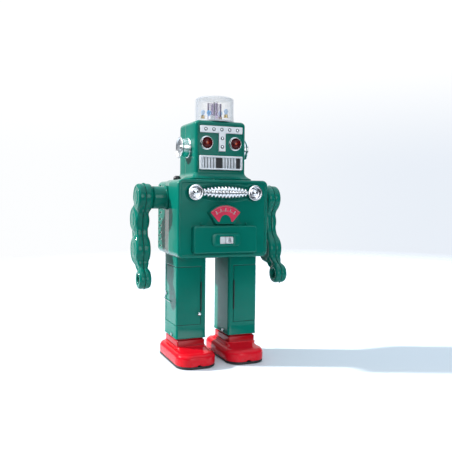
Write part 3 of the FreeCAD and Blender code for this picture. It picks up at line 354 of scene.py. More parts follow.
class Nodes(Tree):
    """A new material, built round its principled shader."""

    def __init__(self, name):
        self.material = bpy.data.materials.new(name)
        self.material.use_nodes = True
        super().__init__(self.material.node_tree)
        self.shader = self.tree.nodes["Principled BSDF"]
        self.place = self.add("ShaderNodeTexCoord").outputs["Object"]

    def set(self, **values):
        for key, value in values.items():
            self.shader.inputs[key.replace("_", " ")].default_value = value

    def noise(self, scale, detail=3.0, rough=0.5, stretch=None):
        """Noise over the piece, scale in features per metre; stretch draws it out along an axis."""
        node = self.add("ShaderNodeTexNoise", Scale=scale, Detail=detail, Roughness=rough)
        source = self.place
        if stretch:
            mapping = self.add("ShaderNodeMapping", Scale=stretch)
            self.join(source, mapping, "Vector")
            source = mapping.outputs["Vector"]
        self.join(source, node, "Vector")
        return node.outputs["Fac"]

    def ramp(self, source, stops):
        """A colour ramp through (position, colour) stops."""
        node = self.add("ShaderNodeValToRGB")
        elements = node.color_ramp.elements
        while len(elements) < len(stops):
            elements.new(0.5)
        for element, (position, colour) in zip(elements, stops):
            element.position = position
            element.color = (*colour, 1.0)
        self.join(source, node, "Fac")
        return node.outputs["Color"]

    def span(self, source, low, high):
        """Spread a 0 to 1 value between low and high."""
        node = self.add("ShaderNodeMapRange", **{"To Min": low, "To Max": high})
        self.join(source, node, "Value")
        return node.outputs["Result"]

    def colour(self, source):
        self.join(source, self.shader, "Base Color")

    def roughness(self, source, low, high):
        self.join(self.span(source, low, high), self.shader, "Roughness")

    def bump(self, source, height, strength=1.0):
        """Raise the surface by up to height millimetres where source is high."""
        node = self.add("ShaderNodeBump", Strength=strength, Distance=height * MM)
        self.join(source, node, "Height")
        self.join(node.outputs["Normal"], self.shader, "Normal")


def enamel(name, dark, light, worn):
    """Glossy paint over pressed tin: faint ripples in the sheet, drifting tone, rubbed edges."""
    paint = Nodes(name)
    drift = paint.noise(14.0, detail=2.0)
    tone = paint.ramp(drift, [(0.3, dark), (0.7, light)])
    edge = paint.add("ShaderNodeNewGeometry").outputs["Pointiness"]
    specks = paint.noise(900.0, detail=4.0, rough=0.7)
    rubbed = paint.add("ShaderNodeMath", operation="MULTIPLY")
    paint.join(paint.rise(edge, 0.53, 0.62), rubbed, 0)
    paint.join(paint.rise(specks, 0.52, 0.7), rubbed, 1)
    paint.colour(paint.blend(rubbed.outputs[0], tone, worn))
    paint.roughness(paint.noise(160.0, detail=5.0, rough=0.65), 0.05, 0.13)
    paint.bump(paint.noise(45.0, detail=2.0, rough=0.4), 0.12, 0.35)
    paint.set(Specular_IOR_Level=0.22)
    return paint.material


def plated(name, dark, light, low, high, brushed=None, metallic=1.0):
    """Bright metal whose polish varies, brushed along one axis where asked."""
    metal = Nodes(name)
    cloud = metal.noise(60.0, detail=3.0)
    metal.colour(metal.ramp(cloud, [(0.25, dark), (0.75, light)]))
    grain = metal.noise(500.0, detail=4.0, rough=0.6, stretch=brushed)
    metal.roughness(grain, low, high)
    metal.bump(grain, 0.02, 0.25)
    metal.set(Metallic=metallic)
    return metal.material


def moulded(name, dark, light, low, high, depth=0.03):
    """Plastic or rubber with a fine moulded skin."""
    plastic = Nodes(name)
    plastic.colour(plastic.ramp(plastic.noise(30.0), [(0.3, dark), (0.7, light)]))
    fine = plastic.noise(700.0, detail=4.0, rough=0.6)
    plastic.roughness(fine, low, high)
    plastic.bump(fine, depth, 0.5)
    return plastic.material


def clear_dome():
    """Thin clear plastic: nearly open face on, milky towards its edges, with faint mould flow."""
    clear = Nodes("clear_plastic")
    flow = clear.noise(120.0, detail=2.0, stretch=(1.0, 1.0, 0.15))
    clear.colour(clear.ramp(flow, [(0.3, (0.4, 0.45, 0.52)), (0.7, (0.55, 0.6, 0.66))]))
    facing = clear.add("ShaderNodeLayerWeight", Blend=0.35).outputs["Facing"]
    clear.join(clear.span(facing, 0.02, 0.5), clear.shader, "Alpha")
    clear.roughness(flow, 0.03, 0.1)
    clear.set(IOR=1.49, Specular_IOR_Level=0.7)
    return clear.material


def ruby():
    """Deep red moulded lens with a veined tone; the lighter heart at its middle is a separate disc of
    painted glow.
    """
    lens = Nodes("ruby_lens")
    vein = lens.noise(260.0, detail=3.0)
    lens.colour(lens.ramp(vein, [(0.3, (0.06, 0.001, 0.003)), (0.72, (0.2, 0.003, 0.006))]))
    lens.roughness(vein, 0.04, 0.12)
    lens.set(Transmission_Weight=0.2, IOR=1.5, Specular_IOR_Level=0.4)
    return lens.material


def printed_dial():
    dial = Nodes("dial_red")
    dial.colour(dial.ramp(dial.noise(120.0, detail=4.0),
                          [(0.3, (0.66, 0.03, 0.08)), (0.7, (0.8, 0.045, 0.11))]))
    dial.roughness(dial.noise(400.0), 0.25, 0.42)
    dial.set(Coat_Weight=0.1, Specular_IOR_Level=0.25)
    return dial.material


def glowing_glass(name, colour, alpha):
    glass = Nodes(name)
    haze = glass.noise(200.0)
    pale = tuple(0.5 + c / 2 for c in colour)
    glass.colour(glass.ramp(haze, [(0.3, colour), (0.8, pale)]))
    glass.roughness(haze, 0.04, 0.12)
    glass.set(Alpha=alpha, IOR=1.45)
    return glass.material


GREEN = enamel("green_tin", (0.001, 0.148, 0.108), (0.003, 0.192, 0.142), (0.04, 0.4, 0.34))
RED = enamel("red_tin", (0.6, 0.004, 0.012), (0.7, 0.007, 0.02), (0.8, 0.3, 0.3))
# A darker copy of the red enamel for the ankle blocks: painted shade for blocks under the legs.
SHADED_RED = enamel("dark_red", (0.36, 0.003, 0.008), (0.45, 0.005, 0.012), (0.6, 0.2, 0.2))
CHROME = plated("chrome", (0.82, 0.83, 0.85), (0.95, 0.95, 0.97), 0.05, 0.14)
SILVER = plated("silver_trim", (0.76, 0.79, 0.83), (0.88, 0.9, 0.94), 0.34, 0.5, (0.2, 1.0, 1.0), 0.35)
SATIN = plated("satin_chrome", (0.86, 0.88, 0.9), (0.97, 0.98, 1.0), 0.2, 0.32)
STEEL = plated("plain_steel", (0.42, 0.43, 0.45), (0.62, 0.63, 0.65), 0.22, 0.42, (1.0, 1.0, 0.15))
BRASS = plated("brass", (0.55, 0.38, 0.13), (0.78, 0.58, 0.24), 0.2, 0.36)
RUBBER = moulded("black_rubber", (0.006, 0.006, 0.007), (0.014, 0.014, 0.016), 0.38, 0.6)
BLACK = moulded("black_plastic", (0.004, 0.004, 0.005), (0.01, 0.01, 0.012), 0.3, 0.5)
WHITE = moulded("white_plastic", (0.72, 0.73, 0.76), (0.84, 0.85, 0.88), 0.28, 0.42, depth=0.015)
CELL = moulded("cell_wrap", (0.02, 0.05, 0.22), (0.03, 0.08, 0.3), 0.2, 0.35, depth=0.01)
CLEAR = clear_dome()
RUBY = ruby()
DIAL = printed_dial()
# Dark rings round the face rivets: painted shadow round each rivet head.
RIVET_SHADE_PAINT = moulded("rivet_shadow", (0.05, 0.07, 0.08), (0.09, 0.12, 0.13), 0.35, 0.5, depth=0.01)
INK = moulded("dial_ink", (0.8, 0.72, 0.7), (0.9, 0.84, 0.82), 0.35, 0.5, depth=0.01)
VANE = glowing_glass("vane_plastic", (0.3, 0.2, 0.42), 0.32)
# An orange disc at each lens's middle: painted glow of a lamp behind the lens.
LENS_GLOW_PAINT = moulded("lens_painted_glow", (0.42, 0.03, 0.01), (0.62, 0.1, 0.03), 0.1, 0.25, depth=0.01)
INDIGO = moulded("vane_rib", (0.03, 0.015, 0.06), (0.06, 0.03, 0.11), 0.25, 0.4)
LAMP = glowing_glass("lamp_glass", (0.3, 0.55, 0.85), 0.55)
BLUE_LAMP = glowing_glass("blue_lamp_glass", (0.08, 0.42, 0.8), 0.6)

SLOTS = {
    "green_tin": GREEN, "red_tin": RED, "dark_red": SHADED_RED, "chrome": CHROME, "silver_trim": SILVER,
    "ruby_lens": RUBY, "dial_red": DIAL, "clear_plastic": CLEAR, "white_plastic": WHITE,
    "black_rubber": RUBBER, "black_plastic": BLACK, "plain_steel": STEEL, "brass": BRASS,
    "vane_plastic": VANE, "lamp_glass": LAMP, "cell_wrap": CELL,
}


def dress_cad():
    """Give every CAD node that stays in view the finish of its material slot in the record."""
    slot_of = {row["node"]: row["material_slot"] for row in frame["record"]["subparts"]}
    for node, obj in frame["nodes"].items():
        finish = SLOTS[slot_of[node]]
        if obj.material_slots:
            for slot in obj.material_slots:
                slot.material = finish
        else:
            obj.data.materials.append(finish)


# ---------------------------------------------------------------- torso

TORSO_LOW, TORSO_HIGH = span("torso_front_shell")
COVER_LOW, COVER_HIGH = span("torso_back_cover")
HORN_LOW, HORN_HIGH = span("chest_horns")
BAR_LOW, BAR_HIGH = span("ribbed_bar")
LEG_LOW, LEG_HIGH = span("left_leg_shell")
LUG_PROUD = 1.0
# The leg's CAD box starts at its hinge knuckles, this far in front of its face.
HINGE_PROUD = 1.9
LEG_LOW[1] += HINGE_PROUD
FRONT_Y = TORSO_LOW[1] + LUG_PROUD
PANEL_STEP = 0.6
PANEL_Y = FRONT_Y + PANEL_STEP
TORSO_EDGE = 2.6
TORSO_CORNER = 6.5
TIN = 0.6
WELL_ROOM = 0.8
HORN_Z = (HORN_LOW[2] + HORN_HIGH[2]) / 2
HORN_RADIUS = (HORN_HIGH[2] - HORN_LOW[2]) / 2
HORN_X = HORN_HIGH[0] - HORN_RADIUS
BAR_HALF = BAR_HIGH[0]


def quarter(edge, depth):
    """How far a rounded edge falls back at this depth inside its outline."""
    short = edge - min(max(depth, 0.0), edge)
    return edge - math.sqrt(edge * edge - short * short)


def shell(rings, hole=None):
    """A skin without caps; hole says which quads, by their middle, are left open."""
    verts, faces = skin(rings, caps=False)
    if hole:
        faces = [f for f in faces if not hole(sum((verts[k] for k in f), Vector()) / len(f))]
    return verts, faces


def scoop_depth(u, v):
    """How far a point lies inside the almond and round seats behind the bar and the horns."""
    swell = 6.0 + 3.9 * (1 - (u / (BAR_HALF + 3)) ** 2)
    almond = min(swell - abs(v - HORN_Z), BAR_HALF + 4 - abs(u))
    seat = HORN_RADIUS + 0.5 - math.hypot(abs(u) - HORN_X, v - HORN_Z)
    return max(almond, seat)


def torso_face_y(u, v):
    depth = rect_depth(u, v, TORSO_LOW[0], TORSO_HIGH[0], TORSO_LOW[2], TORSO_HIGH[2], TORSO_CORNER)
    y = FRONT_Y + quarter(TORSO_EDGE, depth)
    y += PANEL_STEP * smooth_step(3.35, 3.85, depth)
    inside = scoop_depth(u, v)
    y += 1.9 * smooth_step(-0.1, 3.6, inside)
    y -= 0.55 * smooth_step(-1.3, -0.7, inside) * (1 - smooth_step(-0.3, 0.5, inside))
    return y


def leg_well(point):
    in_x = LEG_LOW[0] - WELL_ROOM < abs(point.x) < LEG_HIGH[0] + WELL_ROOM
    in_y = LEG_LOW[1] - 2 < point.y < LEG_HIGH[1] + 2.5
    return in_x and in_y and point.z < TORSO_LOW[2] + 3


def torso_front():
    insets = (0.0, 0.2, 0.6, 1.1, 1.8, 2.6, 3.0, 3.3, 3.45, 3.6, 3.75, 3.9, 4.2)
    rings = [rounded_rect(TORSO_LOW[0] + d, TORSO_HIGH[0] - d, TORSO_LOW[2] + d, TORSO_HIGH[2] - d,
                          TORSO_CORNER - d, 8) for d in insets]
    rings[0] = densify(rings[0], 1.6)
    spots = grid(-HORN_X - 10.6, HORN_X + 10.6, HORN_Z - 11.4, HORN_Z + 10.2, 0.5)
    front = relief(rings, spots, lambda u, v: Vector((u, torso_face_y(u, v), v)))
    seam = TORSO_HIGH[1]
    stations = (FRONT_Y + TORSO_EDGE, FRONT_Y + TORSO_EDGE + 0.4, LEG_LOW[1] - 2, -6.0, seam)
    walls = [[Vector((p.x, y, p.y)) for p in rings[0]] for y in stations]
    verts, faces = merge(front, shell(walls, leg_well))
    piece = add_piece("torso_front", verts, faces, GREEN, "torso", ["torso_front_shell"], "green_tin")
    thicken(piece, TIN)


# The cover's pressed ribs: one rib's edges, and how far apart three of them stand.
BACK_RIB = (-28.0, 28.0, 165.4, 167.8)
BACK_RIB_PITCH = 13.0
# Vents lie in two columns, these far from the back face to where a slot starts, and in rows up the side.
VENT_COLUMNS = (15.2, 9.6)
VENT_LENGTH = 4.0
VENT_ROWS, VENT_PITCH, VENT_FOOT = 18, 4.0, 8.0


def back_cover_y(u, v):
    depth = rect_depth(u, v, COVER_LOW[0], COVER_HIGH[0], COVER_LOW[2], COVER_HIGH[2], TORSO_CORNER)
    y = COVER_HIGH[1] - quarter(4.0, depth)
    panel = rect_depth(u, v, COVER_LOW[0] + 17, COVER_HIGH[0] - 17, COVER_LOW[2] + 17,
                       COVER_HIGH[2] - 17, 5.0)
    y -= 0.9 * smooth_step(0.0, 1.2, panel)
    for k in (-1, 0, 1):
        left, right, foot, head = BACK_RIB
        rise = BACK_RIB_PITCH * k
        rib = rect_depth(u, v, left, right, foot + rise, head + rise, 1.2)
        y += 0.8 * smooth_step(-1.2, 0.9, rib)
    return y


def vent(point):
    """Staggered slots up the sides near the back edge."""
    row = (point.z - COVER_LOW[2] - VENT_FOOT) / VENT_PITCH
    band = round(row)
    if 0 <= band <= VENT_ROWS and abs(row - band) < 0.22 and abs(point.x) > COVER_HIGH[0] - 0.5:
        start = COVER_HIGH[1] - VENT_COLUMNS[band % 2]
        return start < point.y < start + VENT_LENGTH
    return False


def torso_back():
    insets = (0.0, 0.3, 0.9, 1.7, 2.7, 4.0, 4.4)
    rings = [rounded_rect(COVER_LOW[0] + d, COVER_HIGH[0] - d, COVER_LOW[2] + d, COVER_HIGH[2] - d,
                          TORSO_CORNER - d, 8) for d in insets]
    rings[0] = densify(rings[0], 0.8)
    spots = grid(COVER_LOW[0] + 15, COVER_HIGH[0] - 15, COVER_LOW[2] + 15, COVER_HIGH[2] - 15, 1.0)
    face = relief(rings, spots, lambda u, v: Vector((u, back_cover_y(u, v), v)))
    start, end = COVER_LOW[1], COVER_HIGH[1] - 4.0
    back = COVER_HIGH[1]
    stations = {start, start + 1.2, start + 1.6, LEG_HIGH[1] + 2.5, end - 0.4, end}
    for column in VENT_COLUMNS:
        stations |= {back - column, back - column + VENT_LENGTH}
    walls = [[Vector((p.x, y, p.y)) for p in rings[0]] for y in sorted(stations)]

    def hole(point):
        return leg_well(point) or vent(point)

    verts, faces = merge(face, shell(walls, hole))
    piece = add_piece("torso_cover", verts, faces, GREEN, "torso", ["torso_back_cover"], "green_tin")
    thicken(piece, TIN)


def cover_screws():
    """Slotted pan heads, each in its corner of the cover."""
    low, high = span("cover_screws")
    parts = []
    for x in (low[0] + 2.2, high[0] - 2.2):
        for z in (low[2] + 2.2, high[2] - 2.2):
            verts, faces = lathe([(0, 0), (2.1, 0), (2.1, 1.3), (1.9, 1.75), (1.4, 1.95), (0, 1.95)],
                                 "Y", (x, COVER_HIGH[1] - 2.0, z), 32)
            for v in verts:
                on_slot = abs((v.x - x) * 0.8 + (v.z - z) * 0.6) < 0.35
                if on_slot and v.y > COVER_HIGH[1] - 0.3:
                    v.y -= 0.6
            parts.append((verts, faces))
    add_piece("cover_screw_heads", *merge(*parts), STEEL, "torso", ["cover_screws"], "plain_steel")


LUG_X, LUG_HALF, LUG_FOOT, LUG_HEAD = 27.0, 1.3, 159.6, 162.2


def box_lugs():
    """Two small tabs that hold the control box, folded over above its top edge."""
    parts = []
    for _, sign in SIDES:
        x = sign * LUG_X
        outline = rounded_rect(x - LUG_HALF, x + LUG_HALF, LUG_FOOT, LUG_HEAD, 0.7, 4)
        parts.append(slab(outline, -0.3, LUG_PROUD + PANEL_STEP, 0.45, facing(PANEL_Y)))
    add_piece("box_lugs", *merge(*parts), GREEN, "torso", slot="green_tin")


# ---------------------------------------------------------------- chest

def chest_horns():
    """Headlamp-like cups: a rolled rim, a dished inside and a ball at the middle."""
    sunk = 2.0
    reach = PANEL_Y - HORN_LOW[1] + sunk
    rim = fillet([(HORN_RADIUS * 0.55, 0.0), (HORN_RADIUS - 1.4, reach - 3.0), (HORN_RADIUS, reach - 2.4),
                  (HORN_RADIUS, reach - 0.9), (HORN_RADIUS - 1.7, reach - 0.6),
                  (HORN_RADIUS - 2.3, reach - 2.2), (HORN_RADIUS * 0.52, reach - 4.8),
                  (HORN_RADIUS * 0.40, reach - 5.2)],
                 [0, 0.6, 0.7, 0.8, 0.8, 1.2, 1.0, 0], 5, closed=False)
    ball_radius = 3.9
    ball_height = reach - ball_radius
    start = math.asin(min(1.0, (HORN_RADIUS * 0.40 - 0.1) / ball_radius))
    ball = [(ball_radius * math.sin(start + (math.pi - start) * k / 14),
             ball_height + ball_radius * -math.cos(start + (math.pi - start) * k / 14)) for k in range(15)]
    profile = [(0.0, 0.0), *rim, *ball]
    parts = [lathe(profile, "-Y", (sign * HORN_X, PANEL_Y + sunk, HORN_Z), 56) for _, sign in SIDES]
    add_piece("chest_horns_chrome", *merge(*parts), CHROME, "torso", ["chest_horns"], "chrome", 60)


def ribbed_bar():
    """A spindle of close discs between the horns, fattest at the middle."""
    ribs = 13
    pitch = 2 * BAR_HALF / ribs
    axis_y = BAR_LOW[1] + (BAR_HIGH[2] - BAR_LOW[2]) / 2
    thick, thin = (BAR_HIGH[2] - BAR_LOW[2]) / 2, 4.5
    profile = [(0.0, -BAR_HALF - 2.6), (1.9, -BAR_HALF - 2.6), (1.9, -BAR_HALF)]
    for k in range(ribs):
        middle = (k - (ribs - 1) / 2) * pitch
        radius = thin + (thick - thin) * (1 - (middle / BAR_HALF) ** 2)
        core = radius - 2.3
        profile.append((core, middle - pitch * 0.46))
        for step in range(9):
            angle = math.pi * (step / 8 - 0.5)
            profile.append((radius - 1.2 + 1.2 * math.cos(angle), middle + pitch * 0.33 * math.sin(angle)))
        profile.append((core, middle + pitch * 0.46))
    profile += [(1.9, BAR_HALF), (1.9, BAR_HALF + 2.6), (0.0, BAR_HALF + 2.6)]
    verts, faces = lathe(profile, "X", (0, axis_y, HORN_Z), 40)
    add_piece("ribbed_bar_chrome", verts, faces, CHROME, "torso", ["ribbed_bar"], "chrome", 50)


BADGE_LOW, BADGE_HIGH = span("gauge_badge")
BADGE_SHOULDER = 173.6
BADGE_FOOT_HALF = 12.2


def arc_through(half, side_z, top_z, steps):
    """Points from (half, side_z) over (0, top_z) to (-half, side_z), and the arc's centre and radius."""
    rise = top_z - side_z
    radius = (half * half + rise * rise) / (2 * rise)
    centre = top_z - radius
    start = math.atan2(side_z - centre, half)
    points = []
    for k in range(steps + 1):
        angle = start + (math.pi - 2 * start) * k / steps
        points.append(Vector((radius * math.cos(angle), centre + radius * math.sin(angle))))
    return points, centre, radius


def gauge():
    crown, _, _ = arc_through(BADGE_HIGH[0] - 1.2, BADGE_SHOULDER, BADGE_HIGH[2], 24)
    corners = [Vector((-BADGE_FOOT_HALF, BADGE_LOW[2])), Vector((BADGE_FOOT_HALF, BADGE_LOW[2]))]
    radii = [3.2, 3.2, 3.8] + [0] * (len(crown) - 2) + [3.8]
    outline = fillet(corners + crown, radii, 6)
    badge = slab(outline, -0.4, PANEL_Y - BADGE_LOW[1], 0.7, facing(PANEL_Y), chamfer=1.3)
    add_piece("gauge_badge_tin", *badge, GREEN, "torso", ["gauge_badge"], "green_tin")
    dial()


def dial():
    """A crimson fan with a bite out of its foot, and pale ticks printed round it."""
    low, high = span("gauge_dial")
    crown, centre, radius = arc_through(high[0], 173.9, high[2], 24)
    foot_half, bite = 8.6, 6.9
    mouth = []
    for k in range(13):
        angle = math.pi * k / 12
        mouth.append(Vector((-bite * math.cos(angle), low[2] + 0.3 + (bite + 0.9) * math.sin(angle))))
    outline = [*mouth, Vector((foot_half, low[2])), *crown, Vector((-foot_half, low[2]))]
    place = facing(high[1])
    front = relief([outline], [], lambda u, v: place(u, v, 0.32),
                   lambda p: math.hypot(p.x / bite, (p.y - low[2] - 0.3) / (bite + 0.9)) < 1)
    rim = shell([[place(p.x, p.y, h) for p in outline] for h in (0.0, 0.32)])
    add_piece("gauge_dial_print", *merge(front, rim), DIAL, "torso", ["gauge_dial"], "dial_red")
    marks = []
    for k in range(-2, 3):
        angle = math.pi / 2 + k * 0.29
        long_tick = k % 2 == 0
        start, end = radius - (6.6 if long_tick else 5.4), radius - 2.9
        across = Vector((-math.sin(angle), math.cos(angle))) * (0.25 if long_tick else 0.18)
        along = Vector((math.cos(angle), math.sin(angle)))
        middle = Vector((0, centre))
        ring = [middle + along * start - across, middle + along * end - across,
                middle + along * end + across, middle + along * start + across]
        marks.append(slab(ring[::-1], 0.2, 0.42, 0.06, place, steps=1))
    for depth, half_width in ((6.0, 0.2), (1.0, 0.18)):
        track = radius - depth
        sweep = 0.66 if depth > 3 else 0.74
        inner, outer = [], []
        for k in range(25):
            angle = math.pi / 2 + sweep * (k / 12 - 1)
            ray = Vector((math.cos(angle), math.sin(angle)))
            inner.append(Vector((0, centre)) + ray * (track - half_width))
            outer.append(Vector((0, centre)) + ray * (track + half_width))
        marks.append(slab(inner[::-1] + outer, 0.2, 0.42, 0.05, place, steps=1))
    add_piece("gauge_marks", *merge(*marks), INK, "torso")


BOX_LOW, BOX_HIGH = span("control_box")
PLATE_PROUD = 1.6
BOX_FRONT = BOX_LOW[1] + PLATE_PROUD
KNOB_LOW, KNOB_HIGH = span("switch_knob")
KNOB_TRAVEL = 6.0
SWITCH_PLATE = (-17.0, 17.0, 136.3, 150.4)


def control_box():
    outline = rounded_rect(BOX_LOW[0], BOX_HIGH[0], BOX_LOW[2], BOX_HIGH[2], 3.2, 7)
    body = slab(outline, -0.4, PANEL_Y - BOX_FRONT, 1.5, facing(PANEL_Y), chamfer=0.3, steps=5)
    add_piece("control_box_tin", *body, GREEN, "torso", ["control_box"], "green_tin")
    plate = rounded_rect(*SWITCH_PLATE, 4.4, 7)
    slot = rounded_rect(KNOB_LOW[0] - KNOB_TRAVEL - 0.5, KNOB_HIGH[0] + 0.5, KNOB_LOW[2] - 0.4,
                        KNOB_HIGH[2] + 0.4, 0.6, 7)
    surround = window_slab(plate, slot, -0.2, PLATE_PROUD, 0.7, facing(BOX_FRONT))
    add_piece("switch_plate", *surround, GREEN, "torso", slot="green_tin")
    bed = slab(inset(slot, -0.3), 0.02, 0.2, 0.05, facing(BOX_FRONT), steps=1)
    add_piece("switch_slot", *bed, WHITE, "torso", slot="white_plastic")


def switch_knob():
    """A white slider with a ribbed grip across its middle."""
    middle = (KNOB_LOW[0] + KNOB_HIGH[0]) / 2
    base_y = KNOB_HIGH[1]
    crest = base_y - KNOB_LOW[1]
    outline = rounded_rect(KNOB_LOW[0], KNOB_HIGH[0], KNOB_LOW[2], KNOB_HIGH[2], 0.8, 4)
    body = slab(outline, 0.0, crest - 0.5, 0.5, facing(base_y))
    add_piece("switch_slider", *body, WHITE, "power_switch", ["switch_knob"], "white_plastic")
    ribs = []
    for k in range(-2, 3):
        x = middle + 0.75 * k
        rib = rounded_rect(x - 0.25, x + 0.25, KNOB_LOW[2] + 0.8, KNOB_HIGH[2] - 0.8, 0.2, 3)
        ribs.append(slab(rib, crest - 0.8, crest, 0.15, facing(base_y), steps=2))
    add_piece("switch_ribs", *merge(*ribs), WHITE, "power_switch", slot="white_plastic")


# ---------------------------------------------------------------- head

HEAD_LOW, HEAD_HIGH = span("head_front_shell")
HEAD_BACK = span("head_back_shell")[1]
HEAD_HALF = 30.7
HEAD_FRONT_Y = -27.7
HEAD_BACK_Y = 31.9
NECK_TOP = 219.4
HEAD_CORNER = 4.6
HEAD_CROWN = 5.0
SEAM_Y = HEAD_HIGH[1]
FACE = (-27.1, 27.1, 221.0, 271.4)
FACE_FLOOR = -26.35


def head_ring(z, shrink):
    """One level of the head: front side, corners, sides and back, with points on the seam."""
    lip = HEAD_LOW[2] + 1.3
    share = min(1.0, max(0.0, (NECK_TOP - z) / (NECK_TOP - lip)))
    bell = share ** 2.2
    half = HEAD_HALF + (HEAD_HIGH[0] - HEAD_HALF) * bell - shrink
    front = HEAD_FRONT_Y + (HEAD_LOW[1] - HEAD_FRONT_Y) * bell + shrink
    back = HEAD_BACK_Y + (HEAD_BACK[1] - HEAD_BACK_Y) * bell - shrink
    corner = max(0.6, HEAD_CORNER + 1.5 * bell - shrink * 0.75)
    columns = sorted({round(26.0 * k / 30, 3) for k in range(31)})
    xs = [-x for x in reversed(columns[1:])] + columns
    straight = half - corner
    ring = [Vector((x * straight / 26.0, front, z)) for x in xs]

    def bend(centre_x, centre_y, first):
        return [Vector((centre_x + corner * math.cos(first + math.pi / 2 * k / 14),
                        centre_y + corner * math.sin(first + math.pi / 2 * k / 14), z))
                for k in range(1, 14)]

    side_ys = [front + corner, -12.0, 0.0, SEAM_Y - 0.9, SEAM_Y, SEAM_Y + 0.9, 20.0, back - corner]
    ring += bend(straight, front + corner, -math.pi / 2)
    ring += [Vector((half, y, z)) for y in side_ys]
    ring += bend(straight, back - corner, 0.0)
    ring += [Vector((straight * (1 - k / 8), back, z)) for k in range(17)]
    ring += bend(-straight, back - corner, math.pi / 2)
    ring += [Vector((-half, y, z)) for y in reversed(side_ys)]
    ring += bend(-straight, front + corner, math.pi)
    return ring


def head_levels():
    """Heights of the head's rings and how far each shrinks towards the crown."""
    lip = HEAD_LOW[2] + 1.3
    levels = [(HEAD_LOW[2], 0.0), (HEAD_LOW[2] + 1.0, 0.0)]
    levels += [(lip + (NECK_TOP - lip) * k / 10, 0.0) for k in range(11)]
    crown = HEAD_HIGH[2] - HEAD_CROWN
    rows = 84
    levels += [(NECK_TOP + (crown - NECK_TOP) * k / rows, 0.0) for k in range(1, rows + 1)]
    for k in range(1, 9):
        angle = math.pi / 2 * k / 8
        levels.append((crown + HEAD_CROWN * math.sin(angle), HEAD_CROWN * (1 - math.cos(angle))))
    levels.append((HEAD_HIGH[2], HEAD_CROWN + 0.4))
    return levels


def press_face(point):
    """Sink the face's field behind its border."""
    if point.y > HEAD_FRONT_Y + 3:
        return point
    depth = rect_depth(point.x, point.z, *FACE, 2.6)
    share = smooth_step(-0.25, 0.55, depth)
    return Vector((point.x, point.y + (FACE_FLOOR - point.y) * share, point.z))


def head_shells():
    rings = [[press_face(p) for p in head_ring(z, shrink)] for z, shrink in head_levels()]
    verts, faces = skin(rings, caps=False)
    top = rings[-1]
    start = len(verts) - len(top)
    for name, nodes, in_front in (("head_front", ["head_front_shell"], True),
                                  ("head_back", ["head_back_shell"], False)):
        chosen = [f for f in faces
                  if (sum(verts[k].y for k in f) / len(f) < SEAM_Y + 0.01) == in_front]
        cap = [start + k for k, p in enumerate(top)
               if (p.y <= SEAM_Y + 0.01 if in_front else p.y >= SEAM_Y - 0.01)]
        if in_front:
            split = next(k for k in range(1, len(cap)) if cap[k] - cap[k - 1] > 1)
            cap = cap[split:] + cap[:split]
        part_verts, part_faces = trimmed(verts, chosen + [cap])
        for v in part_verts:
            if not in_front and v.y < SEAM_Y + 0.5:
                v.y += 0.4
        piece = add_piece(name, part_verts, part_faces, GREEN, "torso", nodes, "green_tin")
        thicken(piece, TIN)


PLATE_Y = FACE_FLOOR - 0.45
on_face = facing(PLATE_Y)


def face_plate():
    outline = rounded_rect(FACE[0] + 0.45, FACE[1] - 0.45, FACE[2] + 0.45, FACE[3] - 0.45, 2.2, 5)
    add_piece("face_plate", *slab(outline, -0.35, 0.0, 0.3, on_face, steps=2), GREEN, "torso",
              ["face_panel"], "green_tin")


NOSE_X = 0.8


def brow_and_nose():
    low, high = span("brow_nose_trim")
    brow_foot, nose_half = 263.2, 4.0
    proud = PLATE_Y - low[1]
    nose_left, nose_right = NOSE_X - nose_half, NOSE_X + nose_half
    corners = [(nose_left, low[2]), (nose_right, low[2]), (nose_right, brow_foot), (high[0], brow_foot),
               (high[0], high[2]), (low[0], high[2]), (low[0], brow_foot), (nose_left, brow_foot)]
    outline = fillet(corners, [0.7, 0.7, 0.5, 0.7, 0.7, 0.7, 0.7, 0.5], 4)
    add_piece("brow_nose_plate", *slab(outline, -0.1, proud, 0.4, on_face), SILVER, "torso",
              ["brow_nose_trim"], "silver_trim")
    rivet = [(0.0, -0.1), (1.3, -0.1), (1.3, 0.3), (1.15, 0.55), (0.8, 0.75), (0.4, 0.82), (0.0, 0.84)]
    # A thin dark ring under each rivet head paints its shadow on the plate.
    ring = [(1.2, -0.1), (2.05, -0.1), (2.05, 0.08), (1.95, 0.14), (1.3, 0.14), (1.2, 0.08), (1.2, -0.1)]
    middle_z = (brow_foot + high[2]) / 2
    spots = [(9.6 * k, middle_z) for k in range(-2, 3)]
    spots += [(NOSE_X, middle_z - 9.8), (NOSE_X, middle_z - 19.4)]
    parts = [lathe(rivet, "-Y", (x, low[1], z), 24) for x, z in spots]
    rings = [lathe(ring, "-Y", (x, low[1], z), 32) for x, z in spots]
    add_piece("face_rivet_shadow_rings", *merge(*rings), RIVET_SHADE_PAINT, "torso")
    add_piece("face_rivet_heads", *merge(*parts), CHROME, "torso", ["face_rivets"], "chrome", 50)


